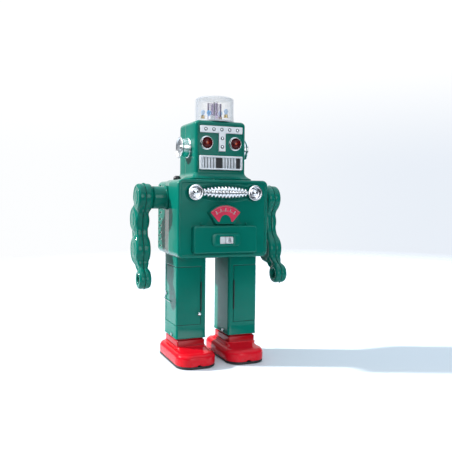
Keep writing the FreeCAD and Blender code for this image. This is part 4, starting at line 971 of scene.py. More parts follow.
def eyes():
    rim_low, rim_high = span("eye_rims")
    lens_low, _ = span("eye_lenses")
    radius = (rim_high[2] - rim_low[2]) / 2
    eye_x, eye_z = rim_high[0] - radius, (rim_low[2] + rim_high[2]) / 2
    proud = PLATE_Y - rim_low[1]
    bezel = fillet([(radius + 0.5, -0.1), (radius + 0.5, 0.35), (radius - 0.3, 0.6),
                    (radius - 0.35, proud - 0.2), (radius - 0.8, proud), (radius - 1.2, proud - 0.7),
                    (radius - 1.3, -0.1)],
                   [0, 0.2, 0.2, 0.35, 0.3, 0.3, 0], 4, closed=False)
    bezel = [(p.x, p.y) for p in bezel] + [(radius + 0.5, -0.1)]
    parts = [lathe(bezel, "-Y", (sign * eye_x, PLATE_Y, eye_z), 48) for _, sign in SIDES]
    add_piece("eye_bezels", *merge(*parts), CHROME, "torso", ["eye_rims"], "chrome", 50)
    lens = radius - 1.2
    crest = PLATE_Y - lens_low[1]
    cut_faces = []
    for _, sign in SIDES:
        rings = []
        for share, height, turn in ((1.0, -0.1, 0), (1.0, 0.55, 0), (0.93, 1.1, 0.5),
                                    (0.68, crest - 0.9, 0), (0.36, crest - 0.2, 0.5), (0.16, crest, 0)):
            rings.append([on_face(sign * eye_x + lens * share * math.cos(TAU * (k + turn) / 14),
                                  eye_z + lens * share * math.sin(TAU * (k + turn) / 14), height)
                          for k in range(14)])
        cut_faces.append(skin(rings))
    verts, faces = merge(*cut_faces)
    split = []
    for face in faces:
        if len(face) == 4:
            split += [[face[0], face[1], face[2]], [face[0], face[2], face[3]]]
        else:
            split.append(face)
    lenses = add_piece("eye_lens_facets", verts, split, RUBY, "torso", ["eye_lenses"], "ruby_lens", 5,
                       smooth=False)
    soften(lenses, 0.12, 8)
    # A small orange disc at the lens tip paints the glow of a lamp behind it.
    glow_profile = [(0.0, crest - 0.6), (1.5, crest - 0.35), (1.5, crest - 0.1), (1.1, crest + 0.06),
             (0.0, crest + 0.1)]
    glow_discs = [lathe(glow_profile, "-Y", (sign * eye_x, PLATE_Y, eye_z), 14) for _, sign in SIDES]
    add_piece("eye_painted_glow", *merge(*glow_discs), LENS_GLOW_PAINT, "torso", slot="ruby_lens")


MOUTH_OPENING = (-23.4, 23.4, 223.6, 235.4)


def mouth():
    low, high = span("mouth_grille")
    proud = PLATE_Y - low[1]
    outer = rounded_rect(low[0], high[0], low[2], high[2], 1.3, 6)
    inner = rounded_rect(*MOUTH_OPENING, 0.8, 6)
    surround = window_slab(outer, inner, -0.1, proud, 0.6, on_face)
    add_piece("mouth_frame", *surround, SILVER, "torso", ["mouth_grille"], "silver_trim")
    teeth = []
    pitch, half = 3.55, 1.42
    for k in range(-6, 7):
        if k in (-1, 0, 6):
            continue
        x = (k - 0.1) * pitch
        rings = []
        for z, swell in ((223.4, 0.0), (223.8, 0.5), (225.0, 0.85), (229.5, 1.0), (234.0, 0.85),
                         (235.2, 0.5), (235.6, 0.0)):
            ring = []
            for step in range(13):
                angle = math.pi * step / 12
                ring.append(Vector((x + half * math.cos(angle), PLATE_Y - 0.15 - (0.3 + 1.25 * swell)
                                    * math.sin(angle), z)))
            rings.append(ring)
        teeth.append(skin(rings))
    add_piece("mouth_bars", *merge(*teeth), SILVER, "torso", slot="silver_trim", sharp=60)
    back = rounded_rect(-23.8, 23.8, 223.2, 235.8, 0.8, 5)
    add_piece("mouth_back", *slab(back, 0.02, 0.14, 0.04, on_face, steps=1), BLACK, "torso",
              ["mouth_liner"], "black_plastic")


def ears():
    """Chrome drums with a rolled rim and a shallow dish, with a small boss at its middle."""
    low, high = span("ear_dishes")
    rim = (high[2] - low[2]) / 2
    at_y, at_z = (low[1] + high[1]) / 2, (low[2] + high[2]) / 2
    reach = high[0] - HEAD_HALF
    profile = fillet([(0.0, -0.6), (rim - 0.7, -0.6), (rim - 0.7, 0.5), (rim - 1.5, 1.0),
                      (rim - 1.7, reach - 2.6), (rim - 0.05, reach - 1.6), (rim - 0.05, reach - 0.3),
                      (rim - 0.9, reach), (rim - 2.2, reach - 1.3), (4.4, reach - 2.5), (3.4, reach - 2.3),
                      (2.6, reach - 0.8), (0.0, reach - 0.5)],
                     [0, 0.4, 0.3, 0.4, 1.0, 0.6, 0.4, 0.4, 0.8, 1.2, 0.4, 0.8, 0], 5, closed=False)
    bowls = on_both_sides(profile, HEAD_HALF, at_y, at_z, 64)
    add_piece("ear_bowls", *bowls, SATIN, "torso", ["ear_dishes"], "chrome", 50)


def dome():
    """A clear cap with a rounded shoulder, a stepped lid and a rolled foot."""
    low, high = span("roof_dome")
    radius = high[0]
    at = (0.0, (low[1] + high[1]) / 2, low[2])
    top = high[2] - low[2]
    outer = fillet([(radius, 0.0), (radius, 1.3), (radius - 0.6, 1.8), (radius - 0.8, top - 1.2),
                    (radius - 2.6, top - 0.2), (11.0, top - 0.2), (10.4, top), (0.0, top)],
                   [0, 0.3, 0.3, 1.6, 1.2, 0.3, 0.3, 0], 6, closed=False)
    inner = [(0.0, top - 0.9), (10.0, top - 0.9), (radius - 3.0, top - 1.1), (radius - 1.7, top - 2.2),
             (radius - 1.6, 1.6), (radius - 1.0, 0.0)]
    section = [*reversed(outer), *reversed(inner)]
    verts, faces = lathe(section, "Z", at, 144)
    add_piece("dome_shell", verts, faces, CLEAR, "torso", ["roof_dome"], "clear_plastic", 45)


def vane_edges():
    """Dark ribs down the outer edges of the light spinner's vanes."""
    low, high = span("spinner_vanes")
    middle = Vector(((low[0] + high[0]) / 2, (low[1] + high[1]) / 2))
    reach = high[0] - middle.x - 0.7
    parts = []
    for k in range(4):
        angle = TAU * k / 4
        x, y = middle.x + reach * math.cos(angle), middle.y + reach * math.sin(angle)
        parts.append(lathe([(0, 0), (0.55, 0.1), (0.7, 1.0), (0.7, 14.0), (0.35, 15.2), (0, 15.3)], "Z",
                           (x, y, high[2] - 15.3), 12))
    add_piece("vane_edges", *merge(*parts), INDIGO, "light_spinner", slot="vane_plastic")


LAMP_SPOTS = ((11.0, 4.0), (11.0, -14.0), (-11.0, 4.0))
BLUE_LAMP_X = -10.5


def roof_lamps():
    """Small bulbs in brass collars on the deck, the front one tinted blue."""
    low, high = span("dome_deck")
    at_y = (low[1] + high[1]) / 2
    collars, bulbs = [], []
    for x, y in LAMP_SPOTS:
        collars.append(lathe([(0, 0), (2.6, 0), (2.6, 0.8), (2.1, 1.1), (2.1, 3.4), (0, 3.4)], "Z",
                             (x, y, high[2] - 0.2), 24))
        bulbs.append(bulb((x, y, high[2] + 3.0)))
    add_piece("lamp_collars", *merge(*collars), BRASS, "torso", slot="brass")
    add_piece("lamp_bulbs", *merge(*bulbs), LAMP, "torso", ["lamps"], "lamp_glass")
    blue = bulb((BLUE_LAMP_X, at_y - 10.0, high[2] - 0.2))
    add_piece("blue_lamp", *blue, BLUE_LAMP, "torso", slot="lamp_glass")


def bulb(at):
    profile = [(0.0, 0.0), (1.5, 0.0), (1.7, 1.2)]
    profile += [(2.7 * math.cos(a), 4.0 + 2.9 * math.sin(a))
                for a in (math.pi / 2 * (k / 5 - 0.6) for k in range(9))]
    return lathe(profile[:-1] + [(0.0, 6.9)], "Z", at, 24)


def filler_plug():
    low, high = span("filler_plug")
    radius = (high[0] - low[0]) / 2
    tall = high[2] - low[2]
    profile = fillet([(0.0, 0.0), (radius, 0.0), (radius, tall * 0.42), (radius * 0.82, tall * 0.8),
                      (radius * 0.45, tall), (0.0, tall)], [0, 0.3, 0.8, 0.9, 0.6, 0], 4, closed=False)
    verts, faces = lathe(profile, "Z",
                         ((low[0] + high[0]) / 2, (low[1] + high[1]) / 2, low[2]), 32)
    add_piece("filler_plug_rubber", verts, faces, RUBBER, "torso", ["filler_plug"], "black_rubber")


def shoulder_barrels():
    low, high = span("shoulder_barrels")
    radius = (high[2] - low[2]) / 2
    at_y, at_z = (low[1] + high[1]) / 2, (low[2] + high[2]) / 2
    reach = high[0] - TORSO_HIGH[0]
    profile = fillet([(0.0, 0.0), (radius, 0.0), (radius, 1.5), (radius - 1.1, 2.1),
                      (radius - 1.1, reach - 1.6), (radius - 2.6, reach), (0.0, reach)],
                     [0, 0.4, 0.5, 0.6, 0.9, 0.9, 0], 5, closed=False)
    drums = on_both_sides(profile, TORSO_HIGH[0], at_y, at_z, 56)
    add_piece("shoulder_drums", *drums, GREEN, "torso", ["shoulder_barrels"], "green_tin")


# ---------------------------------------------------------------- arms

SHOULDER_Y, SHOULDER_Z = 9.5, 189.7
LOBES = (((0.0, 0.0), 15.8), ((13.4, -27.5), 15.0), ((4.4, -61.6), 16.9), ((-14.2, -92.7), 11.4))
WEBS = ((0, 1, 0.78), (1, 2, 0.84), (2, 3, 0.62))
HAND_HOLE = 5.4
ARM_ROUND = 1.9
SEAM_ROUND = 1.0
ARM_LEAN = {"right": math.radians(7.0), "left": math.radians(-7.0)}


def arm_depth(u, v):
    """How far a point lies inside the arm's outline of four lobes and their webs."""
    depths = [radius - math.hypot(u - centre[0], v - centre[1]) for centre, radius in LOBES]
    for first, second, share in WEBS:
        (ax, ay), (bx, by) = LOBES[first][0], LOBES[second][0]
        along = ((u - ax) * (bx - ax) + (v - ay) * (by - ay)) / ((bx - ax) ** 2 + (by - ay) ** 2)
        along = min(1.0, max(0.0, along))
        radius = share * min(LOBES[first][1], LOBES[second][1])
        depths.append(radius - math.hypot(u - ax - along * (bx - ax), v - ay - along * (by - ay)))
    blend = 2.2
    top = max(depths)
    return top + blend * math.log(sum(math.exp((d - top) / blend) for d in depths)) - 0.35


def contour(depth, level, start, stride):
    """Walk once round the line where depth equals level."""

    def settle(p):
        for _ in range(6):
            slope = Vector((depth(p.x + 0.05, p.y) - depth(p.x - 0.05, p.y),
                            depth(p.x, p.y + 0.05) - depth(p.x, p.y - 0.05))) * 10
            p = p + slope * ((level - depth(p.x, p.y)) / max(slope.length_squared, 0.05))
        return p, slope.normalized()

    here, slope = settle(start)
    ring = [here]
    for _ in range(900):
        here, slope = settle(here + Vector((slope.y, -slope.x)) * stride)
        if len(ring) > 5 and (here - ring[0]).length < stride * 0.75:
            break
        ring.append(here)
    return ring


def arm_height(u, v, depth):
    """Thickness of an arm half: full at each lobe, thinner between and at the hand."""
    nearest = min(math.hypot(u - c[0], v - c[1]) / r for c, r in LOBES)
    full = 1 - smooth_step(0.82, 1.12, nearest)
    hand, _ = LOBES[3]
    palm = 1 - smooth_step(12.0, 18.0, math.hypot(u - hand[0], v - hand[1]))
    boss = 1 - smooth_step(0.44, 0.5, nearest)
    panel = smooth_step(3.0, 3.7, depth)
    return 6.5 + 2.0 * full - 1.7 * palm - 0.45 * panel + 0.45 * boss * panel


def leaning(side):
    """Places an arm's upright drawing at x, leant about its shoulder."""
    cos_a, sin_a = math.cos(ARM_LEAN[side]), math.sin(ARM_LEAN[side])

    def place(u, v, x):
        return Vector((x, SHOULDER_Y + u * cos_a - v * sin_a, SHOULDER_Z + u * sin_a + v * cos_a))
    return place


def arm_half(side, which):
    low, high = span(f"{side}_arm_{which}")
    sign = -1 if side == "right" else 1
    thick = high[0] - low[0]
    inner_face = low[0] if (which == "outer") == (sign > 0) else high[0]
    outward = sign if which == "outer" else -sign
    lean = leaning(side)
    hand = Vector(LOBES[3][0])

    def place(u, v, h):
        return lean(u, v, inner_face + outward * h)

    def height(u, v):
        depth = max(0.0, min(arm_depth(u, v), (Vector((u, v)) - hand).length - HAND_HOLE))
        full = min(arm_height(u, v, depth), thick)
        return full - quarter(ARM_ROUND, depth)

    insets = (0.0, 0.12, 0.4, 0.85, 1.4, 1.9, 2.9, 3.7, 4.6)
    rings = [contour(arm_depth, d, Vector((0.0, 15.0 - d)), 1.4) for d in insets]
    turns = [TAU * k / 40 for k in range(40)]
    circle = [hand + Vector((math.cos(a), math.sin(a))) * HAND_HOLE for a in turns]
    holes = [[hand + (p - hand) * (HAND_HOLE + d) / HAND_HOLE for p in circle]
             for d in (0.0, 0.12, 0.4, 0.85, 1.4, 1.9)]
    spots = [p for p in grid(-34, 34, -106, 18, 1.2)
             if arm_depth(p.x, p.y) > 5.0 and (p - hand).length > HAND_HOLE + 2.4]

    def in_hole(p):
        return (p - hand).length < HAND_HOLE

    face = relief(rings + holes, spots, lambda u, v: place(u, v, height(u, v)), in_hole)
    rims = []
    for ring, grow in ((rings[0], -1), (circle, 1)):
        bands = [[place(p.x, p.y, height(p.x, p.y)) for p in ring]]
        for angle in (0.0, 0.5, 1.0, math.pi / 2):
            drop = SEAM_ROUND * (1 - math.cos(angle))
            moved = [p + (p - hand).normalized() * drop for p in ring] if grow > 0 else inset(ring, drop)
            bands.append([place(p.x, p.y, SEAM_ROUND * (1 - math.sin(angle))) for p in moved])
        rims.append(shell(bands))
    cut = [inset(rings[0], SEAM_ROUND), [hand + (p - hand) * (1 + SEAM_ROUND / HAND_HOLE) for p in circle]]
    back = relief(cut, [], lambda u, v: place(u, v, 0.0),
                  lambda p: (p - hand).length < HAND_HOLE + SEAM_ROUND)
    add_piece(f"{side}_arm_{which}_half", *merge(face, *rims, back), GREEN, f"{side}_arm",
              [f"{side}_arm_{which}"], "green_tin", 45)


def arm_seam(side):
    """A black core between the halves that paints the shade in the seam, and the two tabs that lock them.
    """
    sign = -1 if side == "right" else 1
    outer_low, outer_high = span(f"{side}_arm_outer")
    inner_low, inner_high = span(f"{side}_arm_inner")
    middle = (outer_low[0] + inner_high[0]) / 2 if sign > 0 else (outer_high[0] + inner_low[0]) / 2
    lean = leaning(side)

    def place(u, v, x):
        return lean(u, v, middle + x)

    # The black core paints the shade in the groove where the halves meet.
    ring = contour(arm_depth, 0.9, Vector((0.0, 14.0)), 2.0)
    core = [[place(p.x, p.y, x) for p in ring] for x in (-0.9, 0.9)]
    hand, _ = LOBES[3]
    circle = [Vector((hand[0] + (HAND_HOLE + 0.9) * math.cos(TAU * k / 32),
                      hand[1] + (HAND_HOLE + 0.9) * math.sin(TAU * k / 32))) for k in range(32)]
    bore = [[place(p.x, p.y, x) for p in circle] for x in (-0.9, 0.9)]

    def in_hole(p):
        return (p - Vector(hand)).length < HAND_HOLE + 0.9

    ends = [relief([ring, circle], [], lambda u, v, x=x: place(u, v, x), in_hole) for x in (-0.9, 0.9)]
    add_piece(f"{side}_arm_seam", *merge(shell(core), shell(bore), *ends), BLACK, f"{side}_arm")
    tabs = []
    for angle, reach, tilt in ((math.pi / 2, LOBES[0][1], 1.1), (-math.pi / 2 - 0.3, LOBES[3][1], 0.5)):
        centre = LOBES[0][0] if angle > 0 else hand
        rings = []
        for share in (0.0, 0.15, 0.5, 0.85, 1.0):
            spread = (share - 0.5) * 5.0 / reach
            at = Vector(centre) + Vector((math.cos(angle + spread), math.sin(angle + spread))) * reach
            out = Vector((math.cos(angle + spread), math.sin(angle + spread)))
            proud = 0.25 + 0.75 * math.sin(math.pi * share)
            x = tilt * (share - 0.5) * 2
            rings.append([place(*(at + out * h), x + w) for h, w in ((-1.0, -0.7), (-1.0, 0.7),
                                                                   (proud, 0.55), (proud, -0.55))])
        tabs.append(skin(rings))
    tab = add_piece(f"{side}_arm_tabs", *merge(*tabs), GREEN, f"{side}_arm", slot="green_tin")
    soften(tab, 0.2)


# ---------------------------------------------------------------- legs

LEG_CORNER = 2.6
DOOR_EDGE, DOOR_BACK = 20.2, 18.8
DOOR_FOOT, DOOR_HEAD = 44.7, 111.5
HINGE_FOOT, HINGE_HEAD = 60.0, 94.0
DOOR_GAP = 0.5


def leg_ring(sign, grow=0.0):
    """The leg's outline seen from above, counter-clockwise, dense enough to cut the doorway from."""
    low_x, high_x = sorted((sign * LEG_LOW[0], sign * LEG_HIGH[0]))
    ring = rounded_rect(low_x - grow, high_x + grow, LEG_LOW[1] - grow, LEG_HIGH[1] + grow,
                        LEG_CORNER, 8)
    marks = [Vector((sign * (DOOR_EDGE + d), LEG_LOW[1] - grow))
             for d in (-1.2, -1.0, 0.0, DOOR_GAP, 0.9, 2.2)]
    marks += [Vector((sign * LEG_HIGH[0] + sign * grow, DOOR_BACK - d)) for d in (0.0, DOOR_GAP)]
    middle = Vector(((low_x + high_x) / 2, (LEG_LOW[1] + LEG_HIGH[1]) / 2))
    return insert_marks(ring, marks, middle)


def insert_marks(ring, marks, middle):
    """Put extra points on a convex ring, in their place round its middle."""
    points = list(ring) + marks
    points.sort(key=lambda p: math.atan2(p.y - middle.y, p.x - middle.x))
    tidy = [points[0]]
    for p in points[1:]:
        if (p - tidy[-1]).length > 0.02:
            tidy.append(p)
    return tidy


def in_doorway(point, room):
    across = abs(point.x) > DOOR_EDGE + room
    deep = point.y < DOOR_BACK - room
    tall = DOOR_FOOT + room < point.z < DOOR_HEAD - room
    on_front = abs(point.y - LEG_LOW[1]) < LEG_CORNER and across
    on_side = abs(point.x) > LEG_HIGH[0] - LEG_CORNER and deep
    return tall and (on_front or on_side) and across and deep


def leg_heights():
    return (LEG_LOW[2], LEG_LOW[2] + 0.9, LEG_LOW[2] + 1.5, DOOR_FOOT - 1.0, DOOR_FOOT,
            DOOR_FOOT + DOOR_GAP, DOOR_FOOT + 2.2, (DOOR_FOOT + DOOR_HEAD) / 2, DOOR_HEAD - 2.2,
            DOOR_HEAD - DOOR_GAP, DOOR_HEAD, DOOR_HEAD + 1.0, 122.0, LEG_HIGH[2] - 0.6, LEG_HIGH[2])


def leg_shell(side, sign):
    ring = leg_ring(sign)
    rings = []
    for z in leg_heights():
        swell = 0.35 if z < LEG_LOW[2] + 1.0 else 0.0
        rings.append([Vector((p.x, p.y, z)) for p in (inset(ring, -swell) if swell else ring)])
    rings.append([Vector((p.x, p.y, LEG_HIGH[2])) for p in inset(ring, 1.0)])

    verts, faces = shell(rings, lambda point: in_doorway(point, 0.0))
    piece = add_piece(f"{side}_leg_tin", verts, faces, GREEN, f"{side}_leg", [f"{side}_leg_shell"],
                      "green_tin")
    thicken(piece, TIN)
    # A black strip just inside the doorway's edge paints the shade in the gap round the door.
    shade_rings = [[Vector((p.x, p.y, z)) for p in inset(ring, TIN + 0.15)] for z in leg_heights()]
    verts, faces = shell(shade_rings, lambda point: in_doorway(point, 2.2) or not in_doorway(point, -1.0))
    shade_strip = add_piece(f"{side}_doorway_painted_shade", verts, faces, BLACK, f"{side}_leg")
    thicken(shade_strip, 0.2)


def battery_door(side, sign):
    """The corner-shaped cover that wraps the front and the outer side of a leg."""
    ring = leg_ring(sign, 0.15)
    heights = [z for z in leg_heights() if DOOR_FOOT + DOOR_GAP - 0.01 < z < DOOR_HEAD - DOOR_GAP + 0.01]
    rings = [[Vector((p.x, p.y, z)) for p in ring] for z in heights]

    verts, faces = shell(rings, lambda point: not in_doorway(point, DOOR_GAP))
    piece = add_piece(f"{side}_door_tin", *trimmed(verts, faces), GREEN, f"{side}_door",
                      [f"{side}_battery_door"], "green_tin")
    thicken(piece, TIN)
    soften(piece, 0.12)
    tall = HINGE_HEAD - HINGE_FOOT
    pin = [(0, 0), (0.55, 0), (0.7, 0.2)]
    for k in range(1, 5):
        pin += [(0.7, tall * k / 5 - 0.12), (0.5, tall * k / 5), (0.7, tall * k / 5 + 0.12)]
    pin += [(0.7, tall - 0.2), (0.55, tall), (0, tall)]
    at = (sign * (DOOR_EDGE + 0.2), LEG_LOW[1] - HINGE_PROUD + 0.9, HINGE_FOOT)
    add_piece(f"{side}_door_hinge", *lathe(pin, "Z", at, 20), BLACK, f"{side}_door")


DOOR_KNOB_X, DOOR_KNOB_Z = -23.4, 58.0
LATCH_PIVOT = (16.6, 77.4)


def door_knob():
    """The bright push knob on the right leg's door."""
    low, _ = span("right_battery_door")
    reach = LEG_LOW[1] - 0.15 - low[1]
    profile = fillet([(0.0, 0.0), (1.2, 0.0), (1.2, reach * 0.35), (2.0, reach * 0.55), (2.0, reach * 0.85),
                      (1.2, reach), (0.0, reach)], [0, 0.2, 0.3, 0.5, 0.5, 0.5, 0], 4, closed=False)
    verts, faces = lathe(profile, "-Y", (DOOR_KNOB_X, LEG_LOW[1] - 0.15, DOOR_KNOB_Z), 28)
    add_piece("right_door_knob", verts, faces, CHROME, "right_door", slot="chrome")


def wire_latch(side, sign):
    """A bent wire that turns on a rivet near the door's back edge and lies along its side."""
    low, high = span(f"{side}_door_latch")
    wire = 0.55
    x = sign * (LEG_HIGH[0] + 0.3 + 2 * wire)
    foot = low[2] + wire
    pivot_y, pivot_z = LATCH_PIVOT
    bends = fillet([(low[1] + wire, foot), (high[1] - 1.2, foot), (pivot_y + 2.6, pivot_z - 4.0),
                    (pivot_y + 2.4, pivot_z + 1.6), (pivot_y, pivot_z + 2.0),
                    (pivot_y - 2.3, pivot_z), (pivot_y - 0.4, pivot_z - 2.1)], 1.5, 6, closed=False)
    path = [Vector((x, p.x, p.y)) for p in bends]
    parts = [tube(path, wire, 10)]
    axis = "X" if sign > 0 else "-X"
    rivet = fillet([(0.0, 0.0), (1.1, 0.0), (1.1, 1.3), (1.9, 1.35), (1.5, 1.9), (0.0, 2.0)],
                   [0, 0.1, 0.1, 0.15, 0.4, 0], 4, closed=False)
    parts.append(lathe(rivet, axis, (sign * (LEG_HIGH[0] - 0.1), *LATCH_PIVOT), 24))
    add_piece(f"{side}_latch_wire", *merge(*parts), CHROME, f"{side}_latch", [f"{side}_door_latch"],
              "plain_steel", 50)


# ---------------------------------------------------------------- feet

HEEL_CUP = 0.9


def foot_outline(side, shrink, heel=0.0):
    low, high = span(f"{side}_shoe")
    corner = 14.0 - shrink * 0.9
    return fillet([(low[0] + shrink, low[1] + shrink), (high[0] - shrink, low[1] + shrink),
                   (high[0] - shrink, high[1] - shrink - heel), (low[0] + shrink, high[1] - shrink - heel)],
                  [corner + 2.5, corner + 2.5, corner, corner], 14)


def shoe(side):
    """A shoe with upright sides, a rounded shoulder and a top that climbs to a rolled lip."""
    low, high = span(f"{side}_shoe")
    ankle_low, ankle_high = span(f"{side}_ankle_block")
    middle = Vector(((ankle_low[0] + ankle_high[0]) / 2, (ankle_low[1] + ankle_high[1]) / 2))
    toe_x = (low[0] + high[0]) / 2
    shoulder, start, rise = 6.2, low[2] + 7.6, 6.0
    levels = [(0.7, low[2]), (0.35, low[2] + 0.3), (0.2, low[2] + 0.9), (0.0, low[2] + 3.5), (0.0, start)]
    for k in range(1, 11):
        angle = math.pi / 2 * 0.92 * k / 10
        levels.append((shoulder * (1 - math.cos(angle)), start + rise * math.sin(angle)))
    base = densify(foot_outline(side, 0.0, HEEL_CUP), 2.2)
    placed = []
    for shrink, z in levels:
        ring = inset(base, shrink)
        lifted = []
        for p in ring:
            in_notch = p.y < 0 and z < low[2] + 1
            notch = 1.5 * (1 - smooth_step(0.9, 1.9, abs(p.x - toe_x))) if in_notch else 0.0
            lifted.append(Vector((p.x, p.y, z + notch)))
        placed.append(lifted)

    def toward(p, grow):
        """The point round the ankle that lies in the same direction as a point of the shoulder."""
        ray = Vector((p.x, p.y)) - middle
        half_x = (ankle_high[0] - ankle_low[0]) / 2 + grow
        half_y = (ankle_high[1] - ankle_low[1]) / 2 + grow
        power = 9.0
        scale = (abs(ray.x / half_x) ** power + abs(ray.y / half_y) ** power) ** (-1 / power)
        return middle + ray * scale

    crest = placed[-1]
    crest_z = crest[0].z
    for grow, share, z in ((2.0, 0.35, 0.0), (2.0, 0.75, 0.0), (1.9, 1.0, high[2] - 1.0),
                           (1.3, 1.0, high[2] - 0.8), (1.0, 1.0, high[2] - 0.15), (0.7, 1.0, high[2]),
                           (0.35, 1.0, high[2] - 0.25), (0.25, 1.0, high[2] - 1.2),
                           (0.25, 1.0, high[2] - 3.5)):
        ring = []
        for p in crest:
            goal = toward(p, grow)
            flat = Vector((p.x, p.y)).lerp(goal, share)
            climb = crest_z + (high[2] - 1.0 - crest_z) * share ** 1.2
            ring.append(Vector((flat.x, flat.y, climb if share < 1.0 else z)))
        placed.append(ring)
    tin = skin(placed, caps=False)
    piece = add_piece(f"{side}_shoe_tin", *tin, RED, f"{side}_foot", [f"{side}_shoe"], "red_tin", 50)
    thicken(piece, TIN)


def sole(side):
    """A thin rubber sole that stands up behind the heel."""
    low, _ = span(f"{side}_sole")
    shoe_low, shoe_high = span(f"{side}_shoe")
    base = densify(foot_outline(side, 0.0), 2.2)
    heel_start = shoe_high[1] - 9.0
    rings = []
    for shrink, z in ((2.0, low[2]), (1.2, low[2] + 0.12), (0.6, low[2] + 0.6), (0.3, low[2] + 1.4),
                      (0.3, shoe_low[2] - 0.4), (0.55, shoe_low[2] - 0.1), (HEEL_CUP, shoe_low[2])):
        ring = []
        for p in inset(base, shrink):
            cup = smooth_step(heel_start, heel_start + 1.2, p.y) if z > shoe_low[2] - 1 else 0.0
            ring.append(Vector((p.x, p.y, z + 4.6 * cup)))
        rings.append(ring)
    verts, faces = skin(rings)
    add_piece(f"{side}_sole_rubber", verts, faces, RUBBER, f"{side}_foot", [f"{side}_sole"], "black_rubber",
              50)


def ankle_block(side):
    """The block between leg and shoe, in a darker red that paints the shade under the leg, drawn in where
    it enters the leg.
    """
    low, high = span(f"{side}_ankle_block")
    outline = rounded_rect(low[0] + 0.2, high[0] - 0.2, low[1], high[1], 1.6, 6)
    rings = [[Vector((p.x, p.y, low[2] - 3.0)) for p in outline]]
    for shrink, z in ((0.0, low[2] + 5.8), (0.2, low[2] + 6.3), (0.7, low[2] + 6.6), (1.9, low[2] + 6.8),
                      (2.2, low[2] + 7.4), (2.4, high[2] - 0.6), (3.0, high[2])):
        rings.append([Vector((p.x, p.y, z)) for p in inset(outline, shrink)])
    add_piece(f"{side}_ankle", *skin(rings), SHADED_RED, f"{side}_foot", [f"{side}_ankle_block"], "dark_red")


# ---------------------------------------------------------------- stage, lights and camera

# The floor's sizes are in metres. It thins out from the first distance of FLOOR_FADE to the second.
FLOOR_RADIUS = 1.4
FLOOR_AT = (0.4, 0.35, -0.0002)
FLOOR_FADE = (0.45, 1.15)


def floor():
    """A pale disc with no edge that shows."""
    mesh = bpy.data.meshes.new("floor")
    work = bmesh.new()
    bmesh.ops.create_circle(work, cap_ends=True, radius=FLOOR_RADIUS, segments=96)
    work.to_mesh(mesh)
    work.free()
    plane = put("floor", mesh)
    plane.location = FLOOR_AT
    pale = Nodes("pale_floor")
    pale.set(Base_Color=(0.7, 0.76, 0.82, 1.0), Roughness=0.6, Specular_IOR_Level=0.1)
    reach = pale.add("ShaderNodeVectorMath", operation="LENGTH")
    pale.join(pale.place, reach, 0)
    fade = pale.rise(reach.outputs["Value"], *FLOOR_FADE, interpolation_type="SMOOTHSTEP",
                     **{"To Min": 1.0, "To Max": 0.0})
    pale.join(fade, pale.shader, "Alpha")
    mesh.materials.append(pale.material)


WALL_FRONT = (0.04, 0.05, 0.06)
WALL_SIDE = (0.2, 0.23, 0.26)
WALL_LEFT = (0.98, 0.99, 1.0)
WALL_RIGHT = (0.82, 0.87, 0.94)
WALL_TOP = (1.05, 1.05, 1.05)
SOFTBOX = (3.6, 3.7, 3.8)
ROOF = (1.15, 1.3, 1.42)
KEY_STRENGTH = 5.6
KEY_SOFTNESS = 3.0
KEY_FROM = (-1.0, 0.42, 0.66)
FILL_POWER = 1.0


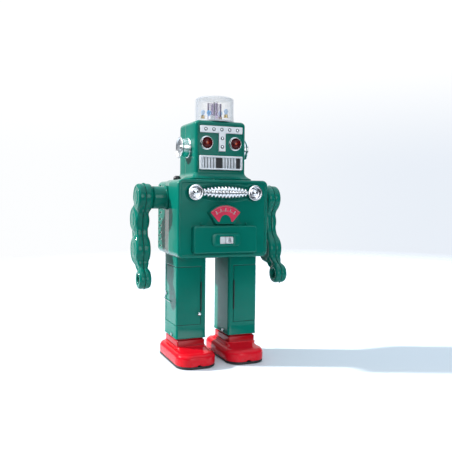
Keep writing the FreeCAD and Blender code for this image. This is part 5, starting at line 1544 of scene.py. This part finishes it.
def studio():
    """A sun-like key from the robot's right rear, in a room with a bright roof, dark walls and one soft
    panel before the robot. The camera itself sees a pale backdrop on every side instead of the room."""
    world = bpy.data.worlds.new("studio")
    world.use_nodes = True
    room = Tree(world.node_tree)
    back = room.tree.nodes["Background"]
    compass = room.add("ShaderNodeTexCoord").outputs["Generated"]

    def towards(direction, low, high):
        """0 to 1 as a direction of the room turns towards the given one."""
        dot = room.add("ShaderNodeVectorMath", operation="DOT_PRODUCT")
        dot.inputs[1].default_value = Vector(direction).normalized()
        room.join(compass, dot, 0)
        return room.rise(dot.outputs["Value"], low, high, interpolation_type="SMOOTHSTEP")

    drop = room.blend(towards((0.92, -0.38, 0.0), -0.3, 0.36), WALL_LEFT, WALL_RIGHT)
    drop = room.blend(towards((0.0, 0.0, 1.0), 0.04, 0.27), drop, WALL_TOP)
    drop = room.blend(towards((0.0, 0.0, -1.0), 0.12, 0.26), drop, WALL_TOP)
    walls = room.blend(towards((0.1, 1.0, 0.0), -0.6, 0.2), WALL_FRONT, WALL_SIDE)
    walls = room.blend(towards((0.38, 0.92, 0.0), 0.72, 0.86), walls, drop)
    walls = room.blend(towards((0.09, -1.0, 0.21), 0.93, 0.99), walls, SOFTBOX)
    lit = room.blend(towards((0.0, 0.0, 1.0), 0.45, 0.8), walls, ROOF)
    seen = room.add("ShaderNodeLightPath").outputs["Is Camera Ray"]
    room.join(room.blend(seen, lit, drop), back, "Color")
    back.inputs["Strength"].default_value = 1.0
    bpy.context.scene.world = world
    sun = bpy.data.lights.new("key", "SUN")
    sun.energy = KEY_STRENGTH
    sun.angle = math.radians(KEY_SOFTNESS)
    sun.color = (1.0, 0.99, 0.97)
    put("key", sun).rotation_euler = Vector(KEY_FROM).to_track_quat("Z", "Y").to_euler()
    lamp("fill", (-0.75, -1.3, 0.8), (0.0, 0.0, 0.18), 0.8, FILL_POWER, (0.95, 0.98, 1.0))


def lamp(name, at, aim, size, power, colour):
    light = bpy.data.lights.new(name, "AREA")
    light.shape = "DISK"
    light.size = size
    light.energy = power
    light.color = colour
    obj = put(name, light)
    obj.location = at
    obj.rotation_euler = (Vector(aim) - Vector(at)).to_track_quat("-Z", "Y").to_euler()


CAMERA_AT = (-246.2, -643.1, 188.6)
YAW, PITCH, ROLL = 22.36, -2.64, 0.61
FOCAL_LENGTH = 46.29


def camera():
    """The view from the robot's right front, a little below its shoulders."""
    at = Vector(CAMERA_AT) * MM
    yaw, pitch, roll = (math.radians(angle) for angle in (YAW, PITCH, ROLL))
    ahead = Vector((math.sin(yaw) * math.cos(pitch), math.cos(yaw) * math.cos(pitch), math.sin(pitch)))
    across = Vector((math.cos(yaw), -math.sin(yaw), 0.0))
    up = across.cross(ahead)
    right = across * math.cos(roll) + up * math.sin(roll)
    above = up * math.cos(roll) - across * math.sin(roll)
    lens = bpy.data.cameras.new("camera")
    lens.lens = FOCAL_LENGTH
    lens.clip_start = 0.01
    lens.clip_end = 50.0
    obj = put("camera", lens)
    turn = Matrix((right, above, -ahead)).transposed().to_4x4()
    obj.matrix_world = Matrix.Translation(at) @ turn
    bpy.context.scene.camera = obj


# ---------------------------------------------------------------- the whole robot

def robot():
    torso_front()
    torso_back()
    cover_screws()
    box_lugs()
    chest_horns()
    ribbed_bar()
    gauge()
    control_box()
    switch_knob()
    head_shells()
    face_plate()
    brow_and_nose()
    eyes()
    mouth()
    ears()
    dome()
    vane_edges()
    roof_lamps()
    filler_plug()
    shoulder_barrels()
    door_knob()
    for side, sign in SIDES:
        arm_half(side, "outer")
        arm_half(side, "inner")
        arm_seam(side)
        leg_shell(side, sign)
        battery_door(side, sign)
        wire_latch(side, sign)
        shoe(side)
        sole(side)
        ankle_block(side)


dress_cad()
robot()
floor()
studio()
camera()
bpy.context.scene.view_settings.view_transform = "Standard"
